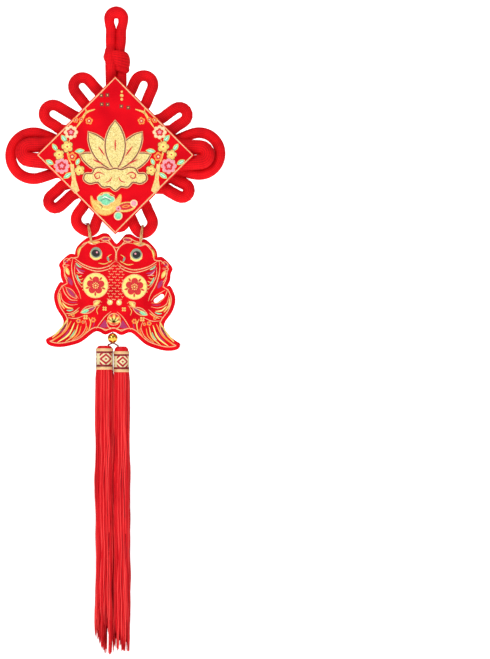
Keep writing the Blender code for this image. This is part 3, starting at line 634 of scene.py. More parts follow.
@dataclass
class HangingLoop:
    """The doubled cord at the top, with its narrow eye, and the overhand wrap that holds it."""

    x: float = 0.4
    crown_z: float = -1.27
    crown_radius: float = 6.5
    crown_lift: float = 1.2
    cord: float = 4.35
    neck: float = 4.8
    neck_gap: float = 4.5
    neck_end: float = -65.0
    wrap_z: float = -36.7
    wrap_drop: float = 2.2
    wrap_reach: float = 7.1
    wrap_reach_deep: float = 7.6
    wrap_cord: float = 4.8
    wrap_left_half: float = 5.6
    wrap_right_half: float = 9.0

    def doubled_cord(self) -> Route:
        """The cord from the left neck up, round the crown and down to the right neck."""
        left = (
            (-4.5, self.neck_end),
            (-4.9, -51.0),
            (-5.2, -40.0),
            (-4.4, -30.0),
            (-4.9, -20.0),
            (-4.7, -10.0),
            (-5.9, -5.0),
        )
        right = ((5.9, -5.0), (4.5, -10.0), (4.2, -20.0), (3.0, -30.0), (3.9, -40.0), (4.5, -52.0), (4.5, self.neck_end))
        steps = 10
        turns = [math.pi * (1 - index / steps) for index in range(1, steps)]
        crown = [(self.crown_radius * math.cos(t), self.crown_z + self.crown_radius * math.sin(t)) for t in turns]
        lifts = [self.cord + self.crown_lift * math.sin(t) for t in turns]
        route = Route()
        route.add([(self.x + x, 0.0, z) for x, z in left], [self.neck] * 2 + [self.cord + 0.3] * 4 + [self.cord])
        route.add([(self.x + x, 0.0, z) for x, z in crown], lifts)
        route.add([(self.x + x, 0.0, z) for x, z in right], [self.cord] + [self.cord + 0.3] * 4 + [self.neck] * 2)
        return route

    def wrap(self) -> bpy.types.Object:
        """The broad turn that slopes down to the right, pulled tight on the left and full on the right."""
        bm = bmesh.new()
        uv = bm.loops.layers.uv.new("cord_uv")
        steps = 72
        sides = 28
        rings = []
        for index in range(steps):
            turn = math.tau * index / steps
            across = math.cos(turn)
            share = (1 + across) / 2
            half = self.wrap_left_half + (self.wrap_right_half - self.wrap_left_half) * share**0.8
            swell = 1 + 0.05 * math.sin(2 * turn + 0.6)
            centre = Vector(
                (
                    self.x + 0.5 + self.wrap_reach * across,
                    self.wrap_reach_deep * math.sin(turn),
                    self.wrap_z - self.wrap_drop * across,
                )
            )
            outward = Vector((across, math.sin(turn), 0))
            ring = []
            for side in range(sides):
                a = math.tau * side / sides
                # The band bulges out and is pressed flat against the strands inside.
                reach = self.wrap_cord * math.cos(a) * (swell if math.cos(a) > 0 else 0.6)
                ring.append(bm.verts.new(centre + outward * reach + Vector((0, 0, half * math.sin(a)))))
            rings.append(ring)
        for index in range(steps):
            first, second = rings[index], rings[(index + 1) % steps]
            for side in range(sides):
                after = (side + 1) % sides
                face = bm.faces.new((first[side], first[after], second[after], second[side]))
                run = (index * 0.62, index * 0.62, (index + 1) * 0.62, (index + 1) * 0.62)
                round_share = (side / sides, (side + 1) / sides, (side + 1) / sides, side / sides)
                for loop, u, v in zip(face.loops, round_share, run):
                    loop[uv].uv = (u, v)
        return settle("overhand_wrap", bm, [CORD], 70.0)

    def tuck(self) -> Route:
        """The end of the wrap, which comes out under its right side and goes back in behind."""
        route = Route()
        x = self.x
        route.add(
            [
                (x - 1.2, -5.2, -42.5),
                (x + 2.2, -7.6, -44.8),
                (x + 6.4, -5.4, -46.0),
                (x + 8.3, -0.4, -46.0),
                (x + 6.4, 5.0, -45.4),
                (x + 1.0, 7.4, -43.4),
                (x - 4.0, 5.4, -41.0),
            ],
            [2.4, 3.0, 3.4, 3.6, 3.4, 3.0, 2.4],
        )
        return route

    def front_strand(self) -> Route:
        """The left strand, which bulges out at the wrap's upper left and covers the band down to the neck."""
        x = self.x
        route = Route()
        route.add([(x - 4.6, -1.5, -25.5), (x - 5.6, -5.6, -31.0), (x - 5.2, -8.1, -37.0)], [4.2, 4.7, 4.8])
        route.add([(x - 4.5, -7.2, -44.0), (x - 4.5, -3.0, -51.0), (x - 4.5, -0.4, -57.0)], [4.8, 4.8, 4.7])
        return route

    def build(self) -> None:
        """Make the loop, its wrap and the tuck under it."""
        loop = lay_cords("hanging_cord", [self.doubled_cord()], CORD, 24, 1.2)
        dress_piece(loop, "cord_red", "hanging_loop")
        dress_piece(self.wrap(), "cord_red")
        dress_piece(lay_cords("wrap_tuck", [self.tuck(), self.front_strand()], CORD, 20, 0.9), "cord_red")


class Side(Enum):
    """The four sides of the knot's body."""

    UPPER_LEFT = "upper_left"
    UPPER_RIGHT = "upper_right"
    LOWER_LEFT = "lower_left"
    LOWER_RIGHT = "lower_right"


@dataclass(frozen=True)
class Ear:
    """One loop of cord outside the body: where its legs point to, its crown, and the strands that it joins."""

    side_a: Side
    root_a: float
    strand_a: int
    side_b: Side
    root_b: float
    strand_b: int
    crown_x: float
    crown_z: float
    radius: float
    cord: float
    layer: float
    pull: float = 0.0
    tip: float = 0.0


UL, UR, LL, LR = Side.UPPER_LEFT, Side.UPPER_RIGHT, Side.LOWER_LEFT, Side.LOWER_RIGHT
EARS = {
    "upper_left_high": Ear(UL, 8.0, 1, UL, 25.5, 2, -29.8, -61.0, 8.0, 5.0, 0.0),
    "upper_left_low": Ear(UL, 31.0, 3, UL, 48.5, 4, -56.1, -85.4, 8.0, 5.0, 0.6),
    "upper_right_high": Ear(UR, 13.0, 1, UR, 31.0, 2, 24.9, -59.6, 8.4, 5.0, 0.0),
    "upper_right_low": Ear(UR, 37.0, 3, UR, 50.0, 4, 56.9, -86.5, 7.1, 5.0, 0.6),
    "left_ring": Ear(UL, 55.0, 5, LL, 53.0, 5, -73.6, -122.7, 20.6, 5.0, 3.6),
    "left_inner": Ear(UL, 50.0, 6, LL, 52.0, 6, -76.7, -120.0, 6.5, 6.7, -3.4),
    "right_ring": Ear(UR, 55.0, 5, LR, 53.0, 5, 74.3, -120.8, 18.8, 5.0, 3.6),
    "right_inner": Ear(UR, 51.0, 6, LR, 52.0, 6, 75.5, -122.2, 6.5, 6.7, -3.4),
    "lower_left_high": Ear(LL, 49.0, 4, LL, 37.0, 3, -54.1, -163.5, 6.2, 5.1, 0.6),
    "lower_left_tied": Ear(LL, 28.0, 2, LL, 17.0, 1, -26.6, -179.7, 9.0, 5.0, 0.0, 2.6, -65),
    "lower_right_high": Ear(LR, 50.0, 4, LR, 39.0, 3, 59.2, -153.8, 6.2, 5.4, 0.6),
    "lower_right_tied": Ear(LR, 31.0, 2, LR, 14.0, 1, 24.6, -182.6, 8.3, 5.0, 0.0, 1.0, -95),
    "bottom_turn": Ear(LL, 14.0, 0, LR, 16.0, 0, 2.6, -180.8, 5.9, 4.9, 0.6),
}

# How the cord runs: A strands go from the upper left to the lower right, B strands from the upper right to
# the lower left, each is named by its number from the top, and a minus sign means the other way round.
OPEN_WALK = ("A0", "right_corner", "B7", "bottom_turn", "-A7", "left_corner", "-B0")
CLOSED_WALKS = (
    ("A1", "-right_inner", "B6", "-lower_left_tied", "-B5", "right_ring", "-A2", "-upper_left_high"),
    ("A3", "lower_right_high", "-A4", "-upper_left_low"),
    ("B3", "lower_left_high", "-B4", "-upper_right_low"),
    ("A5", "lower_right_tied", "-A6", "left_inner", "-B1", "upper_right_high", "B2", "-left_ring"),
)


@dataclass
class KnotWork:
    """The knot itself: eight cords each way, woven over and under, with an ear at every turn."""

    centre_z: float = -122.9
    half: float = 36.0
    pitch: float = 9.0
    strands: int = 8
    strand: float = 4.62
    lift: float = 4.35
    root_depth: float = 7.0
    sway: float = 1.6
    corner_radius: float = 4.5
    short_leg: float = 25.0
    neck_x: float = 0.4

    def body_point(self, along: float, up: float, depth: float) -> Vector:
        """A point from the body's own axes, which lie along the plaque's sides."""
        diagonal = math.sqrt(0.5)
        return Vector(((along - up) * diagonal, depth, self.centre_z + (along + up) * diagonal))

    def side_point(self, side: Side, distance: float, inset: float) -> Vector:
        """A point on a side of the body, inset towards its middle."""
        half = self.half
        edge = half - inset
        places = {
            UL: (half - distance, edge),
            UR: (edge, half - distance),
            LL: (-edge, distance - half),
            LR: (distance - half, -edge),
        }
        return self.body_point(*places[side], 0.0)

    def strand_route(self, kind: str, number: int) -> Route:
        """One strand across the body, over and under the strands that it meets."""
        route = Route()
        first = (self.strands - 1) / 2 * self.pitch
        own = first - self.pitch * number
        for other in range(self.strands):
            where = first - self.pitch * other
            over = 1 if (number + other) % 2 == 0 else -1
            if kind == "A":
                route.add([self.body_point(own, where, over * self.lift)], self.strand)
            else:
                route.add([self.body_point(where, own, -over * self.lift)], self.strand)
        return route

    def tangent_angle(self, centre: Vector, radius: float, root: Vector, outward: Vector) -> float:
        """Where a straight leg from root meets a crown, on the side that outward points to."""
        offset = root - centre
        base = math.atan2(offset.z, offset.x)
        spread = math.acos(min(radius / math.hypot(offset.x, offset.z), 1.0))
        both = (base - spread, base + spread)
        return max(both, key=lambda turn: math.cos(turn) * outward.x + math.sin(turn) * outward.z)

    def ear_route(self, ear: Ear) -> Route:
        """An ear from the strand where it leaves the body, round its crown and back.

        Args:
            ear: the ear's sizes.

        Returns:
            Its route, from side_a to side_b.
        """
        centre = Vector((ear.crown_x, 0, ear.crown_z))
        root_a = self.side_point(ear.side_a, ear.root_a, self.root_depth)
        root_b = self.side_point(ear.side_b, ear.root_b, self.root_depth)
        axis = (centre - (root_a + root_b) / 2).normalized()
        outward = (root_a - root_b) - axis * (root_a - root_b).dot(axis)
        tip = math.atan2(axis.z, axis.x)
        start = tip + math.remainder(self.tangent_angle(centre, ear.radius, root_a, outward) - tip, math.tau)
        end = tip + math.remainder(self.tangent_angle(centre, ear.radius, root_b, -outward) - tip, math.tau)
        steps = max(8, round(abs(end - start) * ear.radius / 4.0))
        crown = []
        for index in range(steps + 1):
            turn = start + (end - start) * index / steps
            pull = ear.pull * max(0.0, math.cos(turn - math.radians(ear.tip))) ** 6
            reach = ear.radius + pull
            crown.append(centre + Vector((reach * math.cos(turn), 0, reach * math.sin(turn))))
        leg_a = self.leg(root_a, crown[0])
        leg_b = self.leg(root_b, crown[-1])[::-1]
        path = leg_a + crown + leg_b
        for index, point in enumerate(path):
            point.y = ear.layer + self.sway * math.cos(math.pi * index / (len(path) - 1))
        exit_a = self.side_point(ear.side_a, self.pitch * (ear.strand_a + 0.5), -1.0)
        exit_b = self.side_point(ear.side_b, self.pitch * (ear.strand_b + 0.5), -1.0)
        exit_a.y = exit_b.y = ear.layer * 0.4
        route = Route()
        route.add([exit_a], self.strand)
        route.add(path, ear.cord)
        route.add([exit_b], self.strand)
        return route

    def leg(self, root: Vector, tangent_point: Vector) -> list[Vector]:
        """Points on the outer part of a leg, or none where the leg is too short to have a straight part."""
        if (tangent_point - root).length < self.short_leg:
            return []
        return [root.lerp(tangent_point, share) for share in (0.6, 0.8)]

    def corner_route(self, sign: int) -> Route:
        """The small turn round the left (-1) or right (1) corner of the body, hidden by the plaque."""
        route = Route()
        half = self.half
        for index in range(7):
            turn = math.radians(45 * index)
            inner, outer = self.corner_radius * math.cos(turn), self.corner_radius * math.sin(turn)
            if sign < 0:
                route.add([self.body_point(-half + inner, half + outer, 1.5 - 0.5 * index)], self.strand)
            else:
                route.add([self.body_point(half + outer, -half + inner, -1.5 + 0.5 * index)], self.strand)
        if sign > 0:
            route.points.reverse()
        return route

    def walk(self, steps: Sequence[str]) -> Route:
        """Join strands and ears in the order that the cord takes them.

        Args:
            steps: names of strands, ears and corners, with a minus sign for the other way round.

        Returns:
            One route.
        """
        whole = Route()
        for step in steps:
            name = step.lstrip("-")
            if name in EARS:
                part = self.ear_route(EARS[name])
            elif name.endswith("corner"):
                part = self.corner_route(-1 if name.startswith("left") else 1)
            else:
                part = self.strand_route(name[0], int(name[1]))
            order = -1 if step.startswith("-") else 1
            whole.add(part.points[::order], part.radii[::order])
        return whole

    def build(self) -> None:
        """Make the whole knot as one mesh of five cords."""
        ends = [Vector((self.neck_x - 4.5, 0, z)) for z in (-61.0, -67.0)]
        other_ends = [Vector((self.neck_x + 4.5, 0, z)) for z in (-67.0, -61.0)]
        open_cord = Route()
        open_cord.add(ends, self.strand)
        middle = self.walk(OPEN_WALK)
        open_cord.add(middle.points, middle.radii)
        open_cord.add(other_ends, self.strand)
        routes = [open_cord]
        for steps in CLOSED_WALKS:
            loop = self.walk(steps)
            loop.closed = True
            routes.append(loop)
        piece = lay_cords("knot_cords", routes, CORD, 18, 1.9)
        dress_piece(piece, "cord_red", "knot")


def flow(points: Sequence[Point2], step: float = 0.8, closed: bool = False) -> Outline:
    """Draw a smooth line through points of a plane."""
    route = Route([Vector((u, v, 0)) for u, v in points], [0.0] * len(points), closed).smooth(step)
    return [(point.x, point.y) for point in route.points]


def disc(u: float, v: float, radius: float, squash: float = 1.0, turn: float = 0.0, count: int = 20) -> Outline:
    """A round spot, or an oval one where squash isn't 1."""
    places = []
    for index in range(count):
        a = math.tau * index / count
        x, y = radius * math.cos(a), radius * squash * math.sin(a)
        places.append((u + x * math.cos(turn) - y * math.sin(turn), v + x * math.sin(turn) + y * math.cos(turn)))
    return places


def blossom(u: float, v: float, radius: float, petals: int, depth: float = 0.22, turn: float = 0.0) -> Outline:
    """A round flower whose edge has one scallop for each petal."""
    count = petals * 8
    places = []
    for index in range(count):
        a = math.tau * index / count
        reach = radius * (1 - depth + depth * abs(math.cos(petals * a / 2)) ** 0.7)
        places.append((u + reach * math.cos(a + turn), v + reach * math.sin(a + turn)))
    return places


def leaf(u: float, v: float, length: float, width: float, degrees: float) -> Outline:
    """A pointed leaf, turned by an angle about its middle."""
    turn = math.radians(degrees)
    steps = 8
    sides = [(index / steps - 0.5, math.sin(math.pi * index / steps) ** 0.8) for index in range(steps + 1)]
    rim = [(length * t, width / 2 * s) for t, s in sides] + [(length * t, -width / 2 * s) for t, s in sides[-2:0:-1]]
    return [(u + x * math.cos(turn) - y * math.sin(turn), v + x * math.sin(turn) + y * math.cos(turn)) for x, y in rim]


def normals_of(line: Sequence[Point2], closed: bool) -> list[Point2]:
    """Unit normals of a line, to the right of its direction."""
    count = len(line)
    found = []
    for index in range(count):
        before = line[index - 1] if closed or index else line[0]
        after = line[(index + 1) % count] if closed or index < count - 1 else line[-1]
        du, dv = after[0] - before[0], after[1] - before[1]
        length = math.hypot(du, dv) or 1.0
        found.append((dv / length, -du / length))
    return found


def stroke(points: Sequence[Point2], width: float, taper: bool = True) -> Outline:
    """A brush stroke along a smooth line, pointed at both ends where it tapers."""
    line = flow(points)
    last = len(line) - 1
    left, right = [], []
    for index, ((u, v), (nu, nv)) in enumerate(zip(line, normals_of(line, False))):
        share = math.sin(math.pi * (0.06 + 0.88 * index / last)) ** 0.7 if taper else 1.0
        half = width / 2 * share
        left.append((u + nu * half, v + nv * half))
        right.append((u - nu * half, v - nv * half))
    return left + right[::-1]


def moved_in(outline: Outline, distance: float) -> Outline:
    """An outline that runs clockwise, moved in by a distance, or out where it is negative.

    A point that would come nearer to the outline than that is left out, so corners stay clean.
    """
    moved = []
    for (u, v), (nu, nv) in zip(outline, normals_of(outline, True)):
        place = (u + nu * distance, v + nv * distance)
        nearest = min(math.hypot(place[0] - a, place[1] - b) for a, b in outline)
        if nearest > abs(distance) * 0.96:
            moved.append(place)
    return moved


@dataclass
class InkSheet:
    """Prints on one board: flat shapes in the board's own plane, made into thin closed slabs.

    place turns a point of the plane and a height above it into a place in millimetres.
    """

    place: Callable[[float, float, float], Vector]
    base: float = 0.10
    rise: float = 0.05
    sunk: float = -0.2
    inks: list[Finish] = field(default_factory=list)
    bm: bmesh.types.BMesh = field(default_factory=bmesh.new)

    def shape(self, outline: Outline, ink: Finish, layer: int = 0, hole: Outline | None = None) -> None:
        """Add one filled shape.

        Args:
            outline: its edge.
            ink: what it is printed in.
            layer: how many layers lie under it.
            hole: the edge of a hole in it, if it has one.
        """
        if ink not in self.inks:
            self.inks.append(ink)
        number = self.inks.index(ink)
        height = self.base + self.rise * layer
        rings = [outline] + ([hole] if hole else [])
        flat = [point for ring in rings for point in ring]
        front = [self.bm.verts.new(self.place(u, v, height)) for u, v in flat]
        back = [self.bm.verts.new(self.place(u, v, self.sunk)) for u, v in flat]
        triangles = tessellate_polygon([[Vector((u, v, 0)) for u, v in ring] for ring in rings])
        faces = []
        for a, b, c in triangles:
            faces.append(self.bm.faces.new((front[a], front[b], front[c])))
            faces.append(self.bm.faces.new((back[c], back[b], back[a])))
        start = 0
        for ring in rings:
            count = len(ring)
            for index in range(count):
                a, b = start + index, start + (index + 1) % count
                faces.append(self.bm.faces.new((front[a], front[b], back[b], back[a])))
            start += count
        for face in faces:
            face.material_index = number

    def band(self, outline: Outline, width: float, ink: Finish, layer: int = 0) -> None:
        """Add a closed line of even width inside a clockwise outline."""
        self.shape(outline, ink, layer, moved_in(outline, width))

    def mirrored(self, outline: Outline, ink: Finish, layer: int = 0) -> None:
        """Add a shape and its mirror image about the plane's middle line."""
        self.shape(outline, ink, layer)
        self.shape([(-u, v) for u, v in outline[::-1]], ink, layer)

    def build(self, name: str, slot: str) -> None:
        """Turn all shapes into one piece."""
        dress_piece(settle(name, self.bm, self.inks, 30.0), slot)


ORANGE_INK = PrintedInk("orange_ink", 0.55, light_hex="#F59A3C", deep_hex="#E07A28")


@dataclass
class Plaque:
    """The square board on its corner: flocked foam with a gold border, two blossom trees and a glittered motif."""

    centre_z: float = -122.9
    side: float = 100.0
    front_y: float = -13.8
    back_y: float = -9.3
    rim: float = 0.9
    crown: float = 0.25
    border_inset: float = 0.9
    border_width: float = 1.1
    ornament: float = 30.0

    def place(self, u: float, v: float, height: float) -> Vector:
        """A point at a height above the crowned front, from the plaque's middle."""
        return Vector((u, self.face_y(u, v) - height, v + self.centre_z))

    def face_y(self, u: float, v: float) -> float:
        """Depth of the front face, which the foam crowns a little."""
        share = min(1.0, (abs(u) + abs(v)) / (self.side * math.sqrt(0.5)))
        return self.front_y - self.crown * (1 - share**2)

    def diamond(self, inset: float, steps: int = 1) -> Outline:
        """A square on its corner, clockwise from the top, inset from the board's edge."""
        reach = (self.side / 2 - inset) * math.sqrt(2)
        corners = ((0.0, reach), (reach, 0.0), (0.0, -reach), (-reach, 0.0))
        places = []
        for index, (u, v) in enumerate(corners):
            after = corners[(index + 1) % 4]
            for step in range(steps):
                t = step / steps
                places.append((u + (after[0] - u) * t, v + (after[1] - v) * t))
        return places

    def pad(self) -> bpy.types.Object:
        """The board itself: soft rim, flat back and a crowned front."""
        bm = bmesh.new()
        rings = []
        steps = 8
        layers = [(self.rim, self.back_y), (self.rim * 0.3, self.back_y - self.rim * 0.3), (0.0, self.back_y - self.rim)]
        layers += [(0.0, self.front_y + self.rim), (self.rim * 0.3, self.front_y + self.rim * 0.3)]
        for inset, y in layers:
            rings.append([bm.verts.new((u, y, v + self.centre_z)) for u, v in self.diamond(inset, steps)])
        for inset in (self.rim, 2.5, 8.0, 16.0, 26.0, 36.0, 45.0):
            rings.append([bm.verts.new(self.place(u, v, 0.0)) for u, v in self.diamond(inset, steps)])
        for first, second in zip(rings, rings[1:]):
            for index in range(len(first)):
                after = (index + 1) % len(first)
                bm.faces.new((first[index], first[after], second[after], second[index]))
        bm.faces.new(rings[0])
        bm.faces.new(rings[-1])
        return settle("plaque_pad", bm, [FLOCK])

    def tree(self, sheet: InkSheet) -> None:
        """One blossom tree and its mirror image."""
        trunk = [(-40.2, -8.0), (-37.0, -8.0), (-35.0, -22.0), (-31.9, -31.6), (-35.6, -34.6), (-39.9, -29.8), (-38.6, -22.0)]
        sheet.mirrored(trunk, TRUNK_INK)
        sheet.mirrored(stroke([(-38.2, -10.0), (-37.0, -20.0), (-36.0, -31.0)], 0.5), GOLD_INK, 1)
        sheet.mirrored(stroke([(-38.3, -9.0), (-41.0, -4.0), (-42.7, 6.0), (-40.5, 14.0)], 1.5), GOLD_INK)
        sheet.mirrored(stroke([(-34.6, 24.4), (-30.0, 31.0), (-25.9, 37.6), (-17.9, 40.8)], 2.0), GOLD_INK)
        sheet.mirrored(stroke([(-26.4, 36.0), (-26.0, 39.0), (-26.4, 41.6)], 1.3), GOLD_INK)
        for u, v, length, width, degrees in (
            (-45.6, 14.6, 7.4, 3.4, -52),
            (-53.8, 6.8, 6.8, 3.0, -55),
            (-31.6, 3.6, 7.8, 3.2, 6),
            (-58.4, -6.4, 7.0, 3.4, -28),
            (-42.4, -18.2, 8.2, 3.2, 35),
            (-33.4, -6.0, 5.6, 2.8, 66),
        ):
            sheet.mirrored(leaf(u, v, length + 1.4, width + 1.3, degrees), GOLD_INK, 1)
            sheet.mirrored(leaf(u, v, length, width, degrees), MINT_INK, 2)
            sheet.mirrored(leaf(u, v, length * 0.7, 0.5, degrees), WHITE_INK, 3)
        for u, v, radius, ring in ((-39.5, 20.3, 5.9, CREAM_INK), (-47.6, -9.7, 6.7, PINK_INK)):
            sheet.mirrored(blossom(u, v, radius + 0.5, 8), BORDER_INK, 2)
            sheet.mirrored(blossom(u, v, radius, 8), ring, 3)
            sheet.mirrored(blossom(u, v, radius * 0.62, 5, 0.3, 0.3), RED_INK, 4)
            sheet.mirrored(blossom(u, v, radius * 0.30, 5, 0.5, 0.3), PINK_INK, 5)
        for u, v, radius in ((-42.7, 7.4, 5.2), (-50.0, 0.4, 4.6), (-31.8, -13.6, 4.6)):
            sheet.mirrored(blossom(u, v, radius + 0.5, 5, 0.3, 0.6), BROWN_INK, 2)
            sheet.mirrored(blossom(u, v, radius, 5, 0.3, 0.6), GOLD_INK, 3)
            sheet.mirrored(blossom(u, v + 0.3, radius * 0.55, 5, 0.35, 0.9), PALE_INK, 4)
            sheet.mirrored(disc(u, v, radius * 0.16, count=10), RED_INK, 5)
        for u, v, radius in ((-38.3, -1.4, 4.0), (-23.3, 30.4, 3.4), (-35.2, 31.2, 2.6), (-30.2, 31.8, 2.2)):
            sheet.mirrored(blossom(u, v, radius, 5, 0.28, 0.2), ORANGE_INK, 3)
            sheet.mirrored(blossom(u, v, radius * 0.6, 5, 0.28, 0.2), RED_INK, 4)
            sheet.mirrored(disc(u, v, radius * 0.24, count=10), CREAM_INK, 5)

    def purse(self, sheet: InkSheet) -> None:
        """The gold boat-shaped ingot with a mint ball, and the small ornament beside it."""
        boat = flow(
            [(-21.4, -36.6), (-19.4, -40.2), (-14.6, -41.4), (-8.0, -43.2), (-2.0, -41.6), (1.6, -39.2), (4.4, -35.4)]
            + [(5.0, -39.0), (2.6, -45.6), (-3.0, -51.4), (-10.0, -53.2), (-16.6, -50.2), (-20.6, -43.6)],
            0.9,
            True,
        )
        sheet.shape(moved_in(boat, -0.8), ORANGE_INK, 0)
        sheet.shape(boat, GOLD_INK, 1)
        sheet.shape(stroke([(-17.0, -44.0), (-12.0, -47.4), (-6.0, -48.6), (-1.6, -45.6)], 1.7), PALE_INK, 2)
        sheet.shape(stroke([(-14.6, -43.4), (-11.6, -45.6), (-12.6, -48.0)], 0.7), BROWN_INK, 3)
        sheet.shape(stroke([(-16.4, -37.6), (-12.0, -34.2), (-6.0, -33.6), (-0.4, -36.6)], 1.1), GOLD_INK, 1)
        for u, v, radius in ((-12.6, -38.8, 3.0), (-8.2, -37.6, 3.8), (-3.8, -39.4, 3.0), (-8.4, -40.8, 4.4)):
            sheet.shape(disc(u, v, radius + 0.7, 0.86), CREAM_INK, 2)
            sheet.shape(disc(u, v, radius, 0.86), MINT_INK, 3)
        sheet.shape(stroke([(-12.0, -38.6), (-9.4, -37.2), (-6.4, -38.4), (-3.6, -39.8)], 0.8), WHITE_INK, 4)
        sheet.shape(disc(9.6, -46.2, 9.0, 0.5, 0.14), GOLD_INK, 0)
        sheet.shape(disc(9.6, -45.8, 7.0, 0.44, 0.14), RED_INK, 1)
        sheet.shape(leaf(9.6, -45.6, 8.0, 2.6, 8), ORANGE_INK, 2)
        sheet.shape(leaf(9.6, -45.6, 4.6, 1.2, 8), RED_INK, 3)
        sheet.shape(disc(16.6, -43.0, 3.3), CREAM_INK, 2)
        sheet.shape(disc(16.6, -43.0, 2.3), PINK_INK, 3)
        sheet.shape(disc(2.6, -54.2, 3.9), CREAM_INK, 2)
        sheet.shape(disc(2.6, -54.2, 2.9), MINT_INK, 3)
        sheet.shape(blossom(2.8, -47.6, 2.4, 5), PINK_INK, 3)
        sheet.shape(disc(2.8, -47.6, 0.8, count=10), RED_INK, 4)

    def lotus_petals(self) -> list[Outline]:
        """The glittered motif from back to front: five petals over a cloud, all generic round forms."""
        pivot = -13.5
        petals = []
        for degrees, length, width in ((24, 34.0, 12.5), (156, 34.0, 12.5), (55, 41.0, 15.0), (125, 41.0, 15.0), (90, 43.5, 17.0)):
            a = math.radians(degrees)
            petals.append(leaf(length / 2 * math.cos(a), pivot + length / 2 * math.sin(a), length, width, degrees))
        cloud = [(0.0, -12.4), (6.0, -13.6), (11.4, -11.6), (17.4, -12.4), (20.4, -16.8), (26.0, -17.2), (27.4, -21.6)]
        cloud += [(22.6, -24.8), (15.6, -23.8), (10.8, -28.0), (4.8, -27.6), (0.0, -31.0)]
        return petals + [self.whole(cloud)]

    def whole(self, half: list[Point2]) -> Outline:
        """A closed smooth shape from its right half, top to bottom."""
        return flow(half + [(-u, v) for u, v in half[-2:0:-1]], 0.9, True)

    def build(self) -> None:
        """Make the pad, its prints and the glittered motif."""
        pad = self.pad()
        dress_piece(pad, "board_red", "plaque")
        sheet = InkSheet(self.place)
        sheet.band(self.diamond(self.border_inset, 6), self.border_width, BORDER_INK)
        self.tree(sheet)
        self.purse(sheet)
        for u, v in ((-12.4, 53.0), (-7.0, 53.4), (-12.0, 45.2), (-6.8, 45.0), (5.4, 43.4), (11.6, 42.2)):
            sheet.shape(blossom(u, v, 2.1, 4, 0.6, 0.785), BROWN_INK, 0)
            sheet.shape(disc(u, v, 0.6, count=8), GOLD_INK, 1)
        for v, radius in ((56.4, 1.0), (53.0, 1.5), (49.6, 1.2)):
            sheet.shape(disc(5.8, v, radius, count=10), GOLD_INK)
        sheet.build("plaque_print", "board_red")
        glitter = InkSheet(self.place, base=0.22)
        for number, part in enumerate(self.lotus_petals()):
            glitter.shape(moved_in(part, -1.6), BORDER_INK, 3 * number)
            glitter.shape(moved_in(part, -0.95), BROWN_INK, 3 * number + 1)
            glitter.shape(part, GLITTER, 3 * number + 2)
        for degrees, reach in ((24, 15.0), (156, 15.0), (55, 19.0), (125, 19.0), (90, 21.0)):
            a = math.radians(degrees)
            u, v = reach * math.cos(a), -13.5 + reach * math.sin(a)
            glitter.shape(leaf(u * 1.12, v + 1.4, 11.0, 1.3, degrees), RED_INK, 19)
        for side in (-1, 1):
            curl = [(9.8, -17.6), (14.6, -15.4), (18.2, -17.6), (16.8, -20.8), (13.6, -19.8), (14.4, -17.8)]
            glitter.shape(stroke([(side * u, v) for u, v in curl], 1.2), RED_INK, 19)
            glitter.shape(stroke([(side * 3.0, -19.6), (side * 5.0, -23.0), (side * 9.0, -24.6)], 1.0), RED_INK, 19)
        glitter.build("plaque_glitter", "board_red")


# Half of the fish board's outline from the notch between the fish down the right side, from the board's
# centre. A sharp point is a corner.
FISH_HALF = (
    (0.0, 41.5, False),
    (4.2, 45.8, False),
    (7.8, 49.9, False),
    (12.8, 50.3, False),
    (17.4, 47.9, False),
    (21.8, 46.7, False),
    (27.2, 45.4, False),
    (35.2, 37.5, False),
    (36.9, 30.6, True),
    (42.0, 30.6, False),
    (50.5, 22.0, False),
    (49.3, 16.0, False),
    (48.9, 10.4, False),
    (46.4, 4.8, True),
    (49.8, 4.8, False),
    (54.3, -6.0, False),
    (51.9, -17.5, False),
    (45.0, -28.9, False),
    (48.3, -37.3, False),
    (54.6, -42.7, False),
    (60.0, -46.2, False),
    (57.4, -51.3, False),
    (47.0, -52.8, False),
    (34.0, -49.8, False),
    (26.8, -46.2, False),
    (15.8, -37.6, False),
    (7.2, -40.2, False),
    (0.0, -37.5, False),
)


@dataclass(frozen=True)
class BoardHole:
    """A hole through the fish board: round, or a slot with round ends."""

    x: float
    z: float
    radius: float
    length: float = 0.0
    slant: float = 0.0

    def rim(self, grow: float = 0.0) -> Outline:
        """The hole's edge, or a line outside it."""
        reach = self.length / 2
        slant = math.radians(self.slant)
        places = []
        for end, start in ((1, -90), (-1, 90)):
            for step in range(9 if self.length else 8):
                turn = math.radians(start + 180 * step / 8) + slant
                u = self.x + end * reach * math.cos(slant) + (self.radius + grow) * math.cos(turn)
                v = self.z + end * reach * math.sin(slant) + (self.radius + grow) * math.sin(turn)
                places.append((u, v))
        return places


